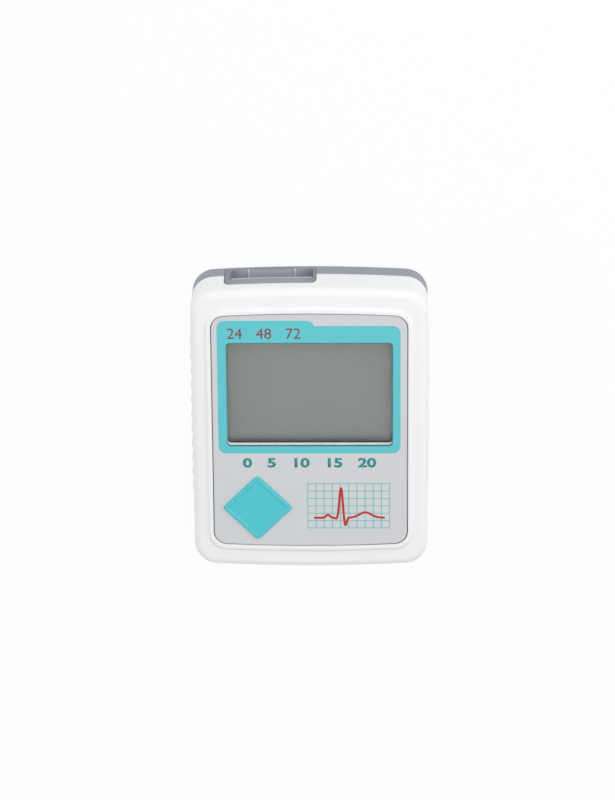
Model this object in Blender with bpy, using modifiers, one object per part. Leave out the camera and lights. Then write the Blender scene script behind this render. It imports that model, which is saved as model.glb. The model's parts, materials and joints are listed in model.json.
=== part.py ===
"""A pocket ECG recorder, modelled as the separate pieces that it is assembled from.

Lengths are in metres. The recorder lies on its back: z = 0 is the back, +Z points out of its
face, and +Y points to the end with the patient cable socket.
"""

import math

import bmesh
import bpy
from mathutils import Matrix, Vector

# Fits shared by all pieces
TOUCH_GAP = 0.0003
OVERRUN = 0.004
WELD = 0.000001

# Case
CASE_WIDTH = 0.0696
CASE_LENGTH = 0.0890
CORNER_RADIUS = 0.0068
END_BOW_RADIUS = 0.500
WALL = 0.0020
BACK_WALL = 0.0018
FACE_WALL = 0.0014
FACE_ROUNDING = 0.0025
BACK_ROUNDING = 0.0012
SEAM_HEIGHT = 0.0074
LAP_DEPTH = 0.0016
LAP_THICKNESS = 0.0009

# Grip ribs on the long sides
RIB_COUNT = 11
RIB_PITCH = 0.0046
RIB_RADIUS = 0.0016
RIB_PROUD = 0.00040
RIB_MIDDLE_Y = 0.0037
RIB_LENGTH = 0.0085
RIB_SEAM_MARGIN = 0.0020

# Raised lip and overlay
LIP_HEIGHT = 0.0004
LIP_WIDTH = 0.0009
LIP_SLOPE = 0.0012
RIM_DROP = 0.0008
LABEL_SIDE_MARGIN = 0.00610
LABEL_END_MARGIN = 0.00763
LABEL_CORNER = 0.0038
LABEL_THICKNESS = 0.0004

# Display window and lens
WINDOW_CORNER = 0.0010
WINDOW_SIDE_MARGIN = 0.00440
WINDOW_TOP_MARGIN = 0.0091
WINDOW_KEY_GAP = 0.009475
LENS_RECESS = 0.0019
LENS_FLANGE = 0.0017
LENS_FLANGE_THICKNESS = 0.0008

# Display cell, its frame and its contact strips
CELL_MARGIN = 0.0012
FRONT_GLASS = 0.0010
REAR_GLASS = 0.0013
GLASS_LEDGE = 0.0026
STRIP_WIDTH = 0.0018
STRIP_END_MARGIN = 0.0022
FRAME_WALL = 0.0012

# Event key, with the switch under it
KEY_SIDE = 0.0148
KEY_CORNER = 0.0010
KEY_TRAVEL = 0.0005
KEY_PRESSED_PROUD = 0.0001
KEY_EDGE = 0.00035
KEY_RIM = 0.0012
KEY_DISH = 0.00025
KEY_FLANGE = 0.0009
KEY_FLANGE_THICKNESS = 0.0008
KEY_POST_RADIUS = 0.0018
KEY_LEFT_MARGIN = 0.01295
KEY_BOTTOM_MARGIN = 0.0123
SWITCH_SIDE = 0.0062
SWITCH_HEIGHT = 0.0016
SWITCH_FLOOR = 0.0004
SWITCH_BORE_RADIUS = 0.0021
DOME_RADIUS = 0.0017
DOME_RISE = 0.00045
DOME_THICKNESS = 0.00015
PLUNGER_RADIUS = 0.0015

# Battery compartment, cells of size AAA
CELL_DIAMETER = 0.0105
CELL_LENGTH = 0.0445
CELL_NUB_RADIUS = 0.0019
CELL_NUB_HEIGHT = 0.0008
CELL_SHOULDER = 0.0004
CELL_SPACING = 0.0006
BAY_INSET = 0.00585
BAY_WALL = 0.0016
BAY_END_WALL = 0.0012
BAY_CEILING = 0.0006
CONTACT_PLATE = 0.0004
CONTACT_WIDTH = 0.0086
CONTACT_HEIGHT = 0.0094
TAB_WIDTH = 0.0024
SPRING_LENGTH = 0.0035
SPRING_BASE_RADIUS = 0.0033
SPRING_TIP_RADIUS = 0.0019
SPRING_WIRE_RADIUS = 0.0002
SPRING_TURNS = 3.5

# Battery door, its rails and the floor that they run in
DOOR_THICKNESS = 0.0018
DOOR_LIP_THICKNESS = 0.0007
DOOR_LIP = 0.0003
DOOR_RAIL = 0.0012
DOOR_END_LIP = 0.0015
DOOR_END_RAIL = 0.0015
FLOOR_THICKNESS = 0.0012
FLOOR_SIDE_MARGIN = 0.0018
FLOOR_END_MARGIN = 0.0014
GRIP_COUNT = 5
GRIP_PITCH = 0.0018
GRIP_WIDTH = 0.0009
GRIP_DEPTH = 0.0004
GRIP_LENGTH = 0.0150

# Screws and their posts
POST_RADIUS = 0.0022
POST_INSET_X = 0.0057
POST_INSET_Y = 0.0070
POST_FOOT = 0.0022
CASE_SCREW_HEAD_RADIUS = 0.0015
CASE_SCREW_HEAD = 0.0011
CASE_SCREW_RADIUS = 0.0008
CASE_SCREW_LENGTH = 0.0090
CASE_SCREW_SINK = 0.0003
BOARD_SCREW_HEAD_RADIUS = 0.0013
BOARD_SCREW_HEAD = 0.0010
BOARD_SCREW_RADIUS = 0.0006
BOARD_SCREW_LENGTH = 0.0040
BOARD_POST_RADIUS = 0.0016
BOARD_SCREW_TOP_MARGIN = 0.01245
BOARD_SCREW_BAY_MARGIN = 0.00325
SCREW_CLEARANCE = 0.0003
CROSS_REACH_SHARE = 0.65
CROSS_WIDTH = 0.0004
CROSS_DEPTH = 0.0005

# Patient cable socket
SOCKET_SIDE_MARGIN = 0.0100
SOCKET_WIDTH = 0.0272
SOCKET_TOP = 0.0152
SOCKET_DEPTH = 0.0112
SOCKET_CORNER = 0.0012
SOCKET_BACK = 0.0010
MOUTH_OFFSET = 0.0003
MOUTH_WIDTH = 0.0230
MOUTH_FLOOR = 0.0010
MOUTH_TOP = 0.0099
MOUTH_FLARE = 0.0008
MOUTH_FLARE_DEPTH = 0.0016
KEYING_RIB_SHARES = (-0.600, 0.600)
KEYING_RIB_WIDTH = 0.0005
KEYING_RIB_HEIGHT = 0.0008
INSULATOR_DEPTH = 0.0023
CONTACT_COUNT = 8
CONTACT_PITCH = 0.0027
CONTACT_BORE_RADIUS = 0.0008
CONTACT_RADIUS = 0.0005
CONTACT_SLOT_MARGIN = 0.0008
TAIL_LENGTH = 0.0020

# Circuit boards
BOARD_THICKNESS = 0.0012
BOARD_SIDE_MARGIN = 0.0006
BOARD_CORNER = 0.0015
AMPLIFIER_SIDE_MARGIN = 0.0070
AMPLIFIER_POST_HEIGHT = 0.0009
AMPLIFIER_POST_RADIUS = 0.0019
AMPLIFIER_POST_INSET = 0.0030
AMPLIFIER_SCREW_LENGTH = 0.0020

# Parts on the main board, below it. Their place shares are of the board's half width, and of the
# run from the battery bay to the socket.
MICROCONTROLLER = (0.0120, 0.0120, 0.0014)
MICROCONTROLLER_PLACE_SHARES = (0.26, 0.72)
MEMORY_CHIP = (0.0184, 0.0120, 0.0012)
MEMORY_CHIP_PLACE_SHARES = (-0.36, 0.72)
CRYSTAL = (0.0047, 0.0114, 0.0035)
CRYSTAL_PLACE_SHARES = (0.62, 0.72)
BUZZER_RADIUS = 0.0048
BUZZER_HEIGHT = 0.0040
BUZZER_HOLE_RADIUS = 0.0008
BUZZER_PLACE_SHARES = (0.60, 0.25)
CAPACITOR_RADIUS = 0.0020
CAPACITOR_HEIGHT = 0.0050
CAPACITOR_PLACE_SHARES = ((0.12, 0.39), (0.30, 0.39))
INDUCTOR_SIDE = 0.0060
INDUCTOR_BASE = 0.0010
INDUCTOR_HEIGHT = 0.0030
INDUCTOR_EDGE = 0.0004
INDUCTOR_PLACE_SHARES = (-0.12, 0.39)
BACKUP_CELL_RADIUS = 0.0062
BACKUP_CELL_HEIGHT = 0.0020
BACKUP_CELL_EDGE = 0.0003
BACKUP_CELL_PLACE_SHARES = (-0.66, 0.25)
CLIP_WIDTH = 0.0050
CLIP_THICKNESS = 0.0004

# Parts on the amplifier board, above it, with place shares of the same kind
AMPLIFIER_CHIP = (0.0050, 0.0064, 0.0012)
AMPLIFIER_CHIP_COUNT = 3
AMPLIFIER_CHIP_PITCH = 0.0070
SHIELD_CAN = (0.0220, 0.0160, 0.0030)
SHIELD_CAN_PLACE_SHARES = (-0.29, 0.60)
SHIELD_WALL = 0.0004
CONVERTER_CHIP = (0.0100, 0.0100, 0.0014)
CONVERTER_CHIP_PLACE_SHARES = (0.40, 0.60)
HEADER = (0.0200, 0.0040, 0.0050)
HEADER_SLOT = (0.0180, 0.0020, 0.0034)
HEADER_PLACE_SHARES = (0.0, 0.19)

# Smoothness of curved outlines and turned pieces
CORNER_STEPS = 7
BOW_STEPS = 5
ROUNDING_STEPS = 3
FINE_SIDES = 20
ROUND_SIDES = 14
SMALL_SIDES = 8
TURN_POINTS = 10

# Heights, from the back to the face
bay_floor = DOOR_THICKNESS + TOUCH_GAP
cell_middle_z = bay_floor + CELL_DIAMETER / 2
bay_top = cell_middle_z + CELL_DIAMETER / 2 + TOUCH_GAP
bay_roof = bay_top + BAY_CEILING
board_low = bay_roof + TOUCH_GAP
board_high = board_low + BOARD_THICKNESS
glass_low = board_high + TOUCH_GAP
glass_step = glass_low + REAR_GLASS
glass_high = glass_step + FRONT_GLASS
lens_low = glass_high + TOUCH_GAP
lens_shoulder = lens_low + LENS_FLANGE_THICKNESS
face_inside = lens_shoulder + TOUCH_GAP
recess_floor = face_inside + FACE_WALL
label_low = recess_floor + TOUCH_GAP
label_face = label_low + LABEL_THICKNESS
lip_top = label_face + LIP_HEIGHT
rim_top = lip_top - RIM_DROP

# Plan sizes that follow from the case
half_width = CASE_WIDTH / 2
half_length = CASE_LENGTH / 2
label_half_width = half_width - LABEL_SIDE_MARGIN
label_half_length = half_length - LABEL_END_MARGIN
key_x = KEY_LEFT_MARGIN - label_half_width
key_y = KEY_BOTTOM_MARGIN - label_half_length
window_half_width = label_half_width - WINDOW_SIDE_MARGIN
window_high_y = label_half_length - WINDOW_TOP_MARGIN
window_low_y = key_y + KEY_SIDE / math.sqrt(2) + WINDOW_KEY_GAP
window_half_length = (window_high_y - window_low_y) / 2
window_y = (window_high_y + window_low_y) / 2
post_x = half_width - POST_INSET_X
post_y = half_length - POST_INSET_Y

# Plan sizes that follow from the battery cells
plate_face = CONTACT_PLATE + TOUCH_GAP
bay_half = plate_face + TOUCH_GAP + (CELL_LENGTH + SPRING_LENGTH) / 2
bay_low_y = BAY_INSET - half_length
cell_lower_y = bay_low_y + TOUCH_GAP + CELL_DIAMETER / 2
cell_upper_y = cell_lower_y + CELL_DIAMETER + CELL_SPACING
bay_high_y = cell_upper_y + CELL_DIAMETER / 2 + TOUCH_GAP
bay_outer_half = bay_half + BAY_WALL
bay_end_y = bay_high_y + BAY_END_WALL
door_top_y = bay_high_y + DOOR_END_LIP
rail_top_y = door_top_y + DOOR_END_RAIL
floor_top_y = rail_top_y + FLOOR_END_MARGIN
floor_high = bay_floor + FLOOR_THICKNESS

# Plan sizes of the display and the boards
lens_half_width = window_half_width + LENS_FLANGE
lens_half_length = window_half_length + LENS_FLANGE
glass_half_width = lens_half_width + CELL_MARGIN
glass_half_length = lens_half_length + CELL_MARGIN
frame_half_width = glass_half_width + TOUCH_GAP + FRAME_WALL
frame_half_length = glass_half_length + TOUCH_GAP + FRAME_WALL
board_post_x = frame_half_width + TOUCH_GAP + BOARD_POST_RADIUS
board_half_width = half_width - WALL - BOARD_SIDE_MARGIN
board_low_y = POST_RADIUS + TOUCH_GAP - post_y
socket_back_y = half_length - SOCKET_DEPTH
board_high_y = socket_back_y - 2 * TOUCH_GAP
amplifier_low = BACK_WALL + AMPLIFIER_POST_HEIGHT + TOUCH_GAP
amplifier_high = amplifier_low + BOARD_THICKNESS
amplifier_low_y = floor_top_y + 2 * TOUCH_GAP
amplifier_half_width = half_width - WALL - AMPLIFIER_SIDE_MARGIN
below_board = board_low - TOUCH_GAP
above_amplifier = amplifier_high + TOUCH_GAP

# Socket heights and places
socket_x = SOCKET_SIDE_MARGIN + SOCKET_WIDTH / 2 - half_width
mouth_x = socket_x + MOUTH_OFFSET
socket_low = BACK_WALL + TOUCH_GAP
mouth_low = socket_low + MOUTH_FLOOR
pocket_y = socket_back_y + SOCKET_BACK
insulator_y = pocket_y + TOUCH_GAP
insulator_front_y = insulator_y + INSULATOR_DEPTH
contact_middle_z = (mouth_low + MOUTH_TOP) / 2


class Finish:
    """The look of one piece: its colour as 8-bit red, green and blue, its roughness and its metal share."""

    def __init__(self, colour, roughness, metallic=0.0):
        self.colour = colour
        self.roughness = roughness
        self.metallic = metallic

    def material(self, name):
        """A Principled material of this finish."""
        material = bpy.data.materials.new(name)
        material.use_nodes = True
        shader = material.node_tree.nodes["Principled BSDF"]
        linear = [(channel / 255) ** 2.2 for channel in self.colour]
        shader.inputs["Base Color"].default_value = (*linear, 1.0)
        shader.inputs["Roughness"].default_value = self.roughness
        shader.inputs["Metallic"].default_value = self.metallic
        return material


WHITE_PLASTIC = Finish((240, 240, 241), 0.45)
GREY_PLASTIC = Finish((154, 160, 169), 0.5)
OVERLAY = Finish((210, 211, 215), 0.4)
CLEAR_LENS = Finish((200, 206, 204), 0.05)
DISPLAY_GLASS = Finish((137, 143, 139), 0.15)
TEAL_PLASTIC = Finish((86, 199, 207), 0.4)
BLACK_PLASTIC = Finish((38, 38, 40), 0.5)
GREEN_BOARD = Finish((30, 92, 60), 0.45)
RUBBER_GREY = Finish((120, 122, 126), 0.8)
STEEL = Finish((190, 191, 194), 0.3, 1.0)
GOLD = Finish((214, 178, 98), 0.3, 1.0)
BATTERY_WRAP = Finish((58, 72, 88), 0.35)


def new_collection(name):
    """A collection of this name in the scene."""
    collection = bpy.data.collections.new(name)
    bpy.context.scene.collection.children.link(collection)
    return collection


def helper(name, mesh, location=(0.0, 0.0, 0.0)):
    """A hidden helper object, kept with the cutters until it is made a part."""
    obj = bpy.data.objects.new(name, mesh)
    obj.location = location
    obj.hide_render = True
    obj.display_type = "WIRE"
    bpy.data.collections[CUTTERS].objects.link(obj)
    return obj


def make_part(obj, finish):
    """Moves a helper into the recorder's collection and gives it its own material."""
    bpy.data.collections[CUTTERS].objects.unlink(obj)
    bpy.data.collections[PARTS].objects.link(obj)
    obj.hide_render = False
    obj.display_type = "SOLID"
    obj.data.materials.clear()
    obj.data.materials.append(finish.material(obj.name + "_finish"))
    return obj


def from_form(name, form, location=(0.0, 0.0, 0.0)):
    """A helper made of a bmesh, which is freed."""
    mesh = bpy.data.meshes.new(name)
    form.to_mesh(mesh)
    form.free()
    return helper(name, mesh, location)


def block(name, low, high):
    """A box between two corners, with its origin at its middle."""
    low = Vector(low)
    high = Vector(high)
    form = bmesh.new()
    bmesh.ops.create_cube(form, size=1.0)
    bmesh.ops.scale(form, vec=high - low, verts=form.verts)
    return from_form(name, form, (low + high) / 2)


def rods(name, places, radius, low, high, sides, along="Z"):
    """Round rods from low to high along Z or Y, at places given across that axis as (x, y) or (x, z)."""
    form = bmesh.new()
    for across, other in places:
        middle = Vector((across, other, (low + high) / 2))
        turn = Matrix.Identity(4)
        if along == "Y":
            middle = Vector((across, (low + high) / 2, other))
            turn = Matrix.Rotation(math.pi / 2, 4, "X")
        bmesh.ops.create_cone(
            form,
            cap_ends=True,
            segments=sides,
            radius1=radius,
            radius2=radius,
            depth=high - low,
            matrix=Matrix.Translation(middle) @ turn,
        )
    obj = from_form(name, form)
    smooth(obj)
    return obj


def smooth(obj):
    """Shades a round piece smooth, with its edges left sharp."""
    obj.data.shade_smooth()
    obj.data.set_sharp_from_angle(angle=math.radians(40))


def solid_of_curve(name, curve, location=(0.0, 0.0, 0.0)):
    """A mesh helper made of a curve, with its caps welded and its flat faces whole."""
    guide = helper(name + "_curve", curve, location)
    graph = bpy.context.evaluated_depsgraph_get()
    mesh = bpy.data.meshes.new_from_object(guide.evaluated_get(graph))
    place = guide.matrix_world.copy()
    bpy.data.objects.remove(guide, do_unlink=True)
    form = bmesh.new()
    form.from_mesh(mesh)
    bmesh.ops.remove_doubles(form, verts=form.verts, dist=WELD)
    bmesh.ops.dissolve_limit(form, angle_limit=math.radians(0.05), verts=form.verts, edges=form.edges)
    bmesh.ops.recalc_face_normals(form, faces=form.faces)
    form.to_mesh(mesh)
    form.free()
    obj = helper(name, mesh)
    obj.matrix_world = place
    return obj


def slab(name, outline, low, high):
    """A flat piece with this outline, from height low to height high."""
    curve = bpy.data.curves.new(name, "CURVE")
    curve.dimensions = "2D"
    curve.fill_mode = "BOTH"
    curve.extrude = (high - low) / 2
    spline = curve.splines.new("POLY")
    spline.points.add(len(outline) - 1)
    for point, (x, y) in zip(spline.points, outline):
        point.co = (x, y, 0.0, 1.0)
    spline.use_cyclic_u = True
    obj = solid_of_curve(name, curve)
    obj.location.z = (low + high) / 2
    return obj


def turned(name, profile, sides):
    """A piece turned round its own Z axis from a profile of (radius, height), top to bottom."""
    form = bmesh.new()
    points = [form.verts.new((radius, 0.0, height)) for radius, height in profile]
    for upper, lower in zip(points, points[1:]):
        form.edges.new((upper, lower))
    obj = from_form(name, form)
    spin = obj.modifiers.new("turning", "SCREW")
    spin.steps = sides
    spin.render_steps = sides
    spin.use_merge_vertices = True
    spin.merge_threshold = WELD
    return obj


def wire(name, route, radius, resolution):
    """A round wire along a route of points."""
    curve = bpy.data.curves.new(name, "CURVE")
    curve.dimensions = "3D"
    curve.bevel_depth = radius
    curve.bevel_resolution = resolution
    curve.use_fill_caps = True
    spline = curve.splines.new("POLY")
    spline.points.add(len(route) - 1)
    for point, place in zip(spline.points, route):
        point.co = (*place, 1.0)
    return solid_of_curve(name, curve)


def combine(target, other, operation):
    """Adds a Boolean of another helper to a piece."""
    modifier = target.modifiers.new(other.name, "BOOLEAN")
    modifier.operation = operation
    modifier.object = other
    modifier.solver = "EXACT"


def cut(target, *cutters):
    """Cuts helpers out of a piece."""
    for cutter in cutters:
        combine(target, cutter, "DIFFERENCE")


def join(target, *others):
    """Makes helpers one with a piece."""
    for other in others:
        combine(target, other, "UNION")


def round_edges(obj, width, chosen, steps=ROUNDING_STEPS):
    """Rounds each edge by the share of the width that the test gives for its ends in the piece's frame."""
    mesh = obj.data
    weights = mesh.attributes.new("bevel_weight_edge", "FLOAT", "EDGE")
    for edge in mesh.edges:
        first, second = (mesh.vertices[index].co for index in edge.vertices)
        weights.data[edge.index].value = float(chosen(first, second))
    rounding = obj.modifiers.new("rounding", "BEVEL")
    rounding.limit_method = "WEIGHT"
    rounding.width = width
    rounding.segments = steps


def flat_edge(first, second):
    """Whether an edge lies level."""
    return abs(first.z - second.z) < WELD


def high_edge(first, second):
    """Whether an edge lies on the top of its piece."""
    return first.z > 0 and second.z > 0


def rim_edge(first, second):
    """The share of the face's rounding that an edge of the closed case takes: less round the back."""
    if not flat_edge(first, second):
        return 0.0
    return 1.0 if high_edge(first, second) else BACK_ROUNDING / FACE_ROUNDING


def high_end_edge(first, second):
    """Whether an edge runs along Y on the top of its piece."""
    return high_edge(first, second) and abs(first.x - second.x) < WELD


def bowed_outline(width_half, length_half, corner, bow):
    """A closed outline with straight sides, bowed ends and round corners, anticlockwise from +X.

    The ends are arcs of the radius bow, and each corner is an arc that touches its side and its end.
    """
    reach = width_half - corner
    tilt = math.asin(reach / (bow - corner))
    rise = length_half - bow + (bow - corner) * math.cos(tilt)
    quarter = []
    for step in range(CORNER_STEPS + 1):
        angle = (math.pi / 2 - tilt) * step / CORNER_STEPS
        quarter.append((reach + corner * math.cos(angle), rise + corner * math.sin(angle)))
    for step in range(1, BOW_STEPS + 1):
        angle = tilt * (1 - step / BOW_STEPS)
        quarter.append((bow * math.sin(angle), length_half - bow + bow * math.cos(angle)))
    left = [(-x, y) for x, y in reversed(quarter[:-1])]
    upper = quarter + left
    lower = [(-x, -y) for x, y in upper]
    return upper + lower


def case_outline(inset):
    """The case's outline, drawn in by this much all round."""
    return bowed_outline(
        half_width - inset, half_length - inset, CORNER_RADIUS - inset, END_BOW_RADIUS - inset
    )


def label_outline(outset):
    """The overlay's outline, grown by this much all round."""
    return bowed_outline(
        label_half_width + outset,
        label_half_length + outset,
        LABEL_CORNER + outset,
        END_BOW_RADIUS - LABEL_END_MARGIN + outset,
    )


def rounded_outline(width_half, length_half, corner, middle=(0.0, 0.0), steps=4):
    """A rectangle with round corners about a middle."""
    points = []
    for quarter, (sign_x, sign_y) in enumerate(((1, 1), (-1, 1), (-1, -1), (1, -1))):
        for step in range(steps + 1):
            angle = math.pi / 2 * (quarter + step / steps)
            x = sign_x * (width_half - corner) + corner * math.cos(angle)
            y = sign_y * (length_half - corner) + corner * math.sin(angle)
            points.append((middle[0] + x, middle[1] + y))
    return points


def cross_outline(half, width):
    """A plus sign, as the recess of a cross-head screw."""
    arm = width / 2
    corner = [(half, -arm), (half, arm), (arm, arm)]
    outline = []
    for quarter in range(4):
        turn = Matrix.Rotation(quarter * math.pi / 2, 2)
        outline += [tuple(turn @ Vector(point)) for point in corner]
    return outline


def key_form(name, outset, corner, low, high):
    """A slab at the event key's place: its rounded square, grown by outset, with a corner up."""
    half = KEY_SIDE / 2 + outset
    form = slab(name, rounded_outline(half, half, corner), low, high)
    form.location.x = key_x
    form.location.y = key_y
    form.rotation_euler.z = math.pi / 4
    return form


def window_form(name, outset, low, high, corner=0.0):
    """A slab about the display window's middle, grown by outset all round."""
    outline = rounded_outline(
        window_half_width + outset, window_half_length + outset, WINDOW_CORNER + corner
    )
    form = slab(name, outline, low, high)
    form.location.y = window_y
    return form


def case_form(name):
    """The outside of the closed case below its lip, with both rims rounded."""
    form = slab(name, case_outline(0.0), 0.0, rim_top)
    round_edges(form, FACE_ROUNDING, rim_edge)
    return form


def half_space(name, low, high):
    """A block wider than the case, between two heights."""
    width = half_width + OVERRUN
    length = half_length + OVERRUN
    return block(name, (-width, -length, low), (width, length, high))


def four_posts():
    """The places of the four case screws."""
    return [(x, y) for x in (-post_x, post_x) for y in (-post_y, post_y)]


def board_posts():
    """The places of the four main board screws."""
    rows = (board_high_y - BOARD_SCREW_TOP_MARGIN, bay_end_y + BOARD_SCREW_BAY_MARGIN)
    return [(x, y) for x in (-board_post_x, board_post_x) for y in rows]


def amplifier_posts():
    """The places of the four amplifier board screws."""
    across = amplifier_half_width - AMPLIFIER_POST_INSET
    rows = (amplifier_low_y + AMPLIFIER_POST_INSET, board_high_y - 2 * AMPLIFIER_POST_INSET)
    return [(x, y) for x in (-across, across) for y in rows]


def side_ribs():
    """The grip ribs of both long sides, as upright rods sunk in the wall."""
    across = half_width + RIB_PROUD - RIB_RADIUS
    first = RIB_MIDDLE_Y - RIB_PITCH * (RIB_COUNT - 1) / 2
    places = [(x, first + RIB_PITCH * row) for x in (-across, across) for row in range(RIB_COUNT)]
    low = SEAM_HEIGHT + RIB_SEAM_MARGIN
    return rods("rib_forms", places, RIB_RADIUS, low, low + RIB_LENGTH, FINE_SIDES)


def socket_notch(name, low):
    """The gap that the socket housing fills in a shell, from height low up."""
    side = SOCKET_WIDTH / 2 + TOUCH_GAP
    notch = block(
        name,
        (socket_x - side, socket_back_y - TOUCH_GAP, low),
        (socket_x + side, half_length + OVERRUN, SOCKET_TOP + TOUCH_GAP),
    )
    round_edges(notch, SOCKET_CORNER + TOUCH_GAP, high_end_edge)
    return notch


def front_shell():
    """The white front moulding, with its lip, window, key hole, side ribs and posts."""
    shell = case_form("front_shell")
    lip = slab("lip_form", label_outline(LIP_WIDTH + LIP_SLOPE), rim_top - LIP_SLOPE, lip_top)
    round_edges(lip, LIP_SLOPE, high_edge, 4)
    join(shell, lip, side_ribs())
    low = SEAM_HEIGHT + TOUCH_GAP / 2
    cut(shell, half_space("below_seam", -OVERRUN, low))
    cavity = slab("front_cavity", case_outline(WALL), 0.0, face_inside)
    lap = slab("front_lap", case_outline(LAP_THICKNESS), 0.0, SEAM_HEIGHT + LAP_DEPTH)
    cut(shell, cavity, lap)
    posts = rods(
        "front_posts",
        four_posts(),
        POST_RADIUS,
        BACK_WALL + POST_FOOT + TOUCH_GAP,
        face_inside + FACE_WALL / 2,
        ROUND_SIDES,
    )
    holders = rods(
        "board_post_forms",
        board_posts(),
        BOARD_POST_RADIUS,
        board_high + TOUCH_GAP,
        face_inside + FACE_WALL / 2,
        ROUND_SIDES,
    )
    join(shell, posts, holders)
    recess = slab("label_recess", label_outline(TOUCH_GAP), recess_floor, lip_top + OVERRUN)
    window = window_form("window_hole", 0.0, face_inside - OVERRUN, lip_top)
    key_hole = key_form(
        "key_hole", TOUCH_GAP, KEY_CORNER + TOUCH_GAP, face_inside - OVERRUN, lip_top
    )
    case_bores = rods(
        "case_screw_bores",
        four_posts(),
        CASE_SCREW_RADIUS + SCREW_CLEARANCE,
        0.0,
        CASE_SCREW_SINK + CASE_SCREW_HEAD + CASE_SCREW_LENGTH + TOUCH_GAP,
        SMALL_SIDES,
    )
    board_bores = rods(
        "board_screw_bores",
        board_posts(),
        BOARD_SCREW_RADIUS + SCREW_CLEARANCE,
        board_low,
        below_board + BOARD_SCREW_LENGTH + TOUCH_GAP,
        SMALL_SIDES,
    )
    cut(shell, recess, window, key_hole, case_bores, board_bores, socket_notch("front_notch", 0.0))
    make_part(shell, WHITE_PLASTIC)


def rear_shell():
    """The grey rear moulding, with the battery bay, the door's runners and the screw posts."""
    shell = case_form("rear_shell")
    high = SEAM_HEIGHT - TOUCH_GAP / 2
    cut(shell, half_space("above_seam", high, lip_top + OVERRUN))
    lap_inset = LAP_THICKNESS + TOUCH_GAP
    lap_high = SEAM_HEIGHT + LAP_DEPTH - TOUCH_GAP
    join(shell, slab("rear_lap", case_outline(lap_inset), SEAM_HEIGHT / 2, lap_high))
    cut(shell, slab("rear_cavity", case_outline(WALL), BACK_WALL, lap_high + OVERRUN))
    pads = rods("post_feet", four_posts(), POST_RADIUS, BACK_WALL / 2, BACK_WALL + POST_FOOT, ROUND_SIDES)
    board_feet = rods(
        "amplifier_feet",
        amplifier_posts(),
        AMPLIFIER_POST_RADIUS,
        BACK_WALL / 2,
        BACK_WALL + AMPLIFIER_POST_HEIGHT,
        ROUND_SIDES,
    )
    floor_half = bay_outer_half + FLOOR_SIDE_MARGIN
    bay_floor_slab = block(
        "bay_floor_form",
        (-floor_half, WALL - half_length, BACK_WALL / 2),
        (floor_half, floor_top_y, floor_high),
    )
    bay_box = block(
        "bay_box_form",
        (-bay_outer_half, bay_low_y - BAY_END_WALL, BACK_WALL / 2),
        (bay_outer_half, bay_end_y, bay_roof),
    )
    join(shell, bay_floor_slab, bay_box, pads, board_feet)
    bay = block("bay_form", (-bay_half, bay_low_y, 0.0), (bay_half, bay_high_y, bay_top))
    end = -half_length - OVERRUN
    lip_half = bay_half - DOOR_LIP
    rail_half = bay_half + DOOR_RAIL
    lip_way = block("door_way", (-lip_half, end, -OVERRUN), (lip_half, door_top_y, bay_floor))
    rail_way = block(
        "rail_way", (-rail_half, end, DOOR_LIP_THICKNESS), (rail_half, rail_top_y, bay_floor)
    )
    cut(shell, bay, lip_way, rail_way)
    head_room = rods(
        "screw_head_sinks",
        four_posts(),
        CASE_SCREW_HEAD_RADIUS + TOUCH_GAP,
        -OVERRUN,
        CASE_SCREW_SINK + CASE_SCREW_HEAD + TOUCH_GAP,
        ROUND_SIDES,
    )
    screw_ways = rods(
        "screw_ways",
        four_posts(),
        CASE_SCREW_RADIUS + SCREW_CLEARANCE,
        0.0,
        BACK_WALL + POST_FOOT + OVERRUN,
        SMALL_SIDES,
    )
    amplifier_bores = rods(
        "amplifier_bores",
        amplifier_posts(),
        BOARD_SCREW_RADIUS + SCREW_CLEARANCE,
        amplifier_high - AMPLIFIER_SCREW_LENGTH,
        amplifier_high,
        SMALL_SIDES,
    )
    tab_slots = []
    for y in (cell_upper_y, cell_lower_y):
        slot = block(
            "tab_slot",
            (-bay_half, y - TAB_WIDTH / 2 - TOUCH_GAP, bay_top - OVERRUN),
            (TOUCH_GAP * 2 + CONTACT_PLATE - bay_half, y + TAB_WIDTH / 2 + TOUCH_GAP, bay_roof + OVERRUN),
        )
        tab_slots.append(slot)
    notch = socket_notch("rear_notch", BACK_WALL)
    cut(shell, head_room, screw_ways, amplifier_bores, *tab_slots, notch)
    make_part(shell, GREY_PLASTIC)


def front_label():
    """The overlay in the lip's recess, with its window and key cut-outs."""
    label = slab("front_label", label_outline(0.0), label_low, label_face)
    window = window_form("label_window", 0.0, label_low - OVERRUN, label_face + OVERRUN)
    key_hole = key_form(
        "label_key_hole",
        TOUCH_GAP,
        KEY_CORNER + TOUCH_GAP,
        label_low - OVERRUN,
        label_face + OVERRUN,
    )
    cut(label, window, key_hole)
    make_part(label, OVERLAY)


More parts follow.
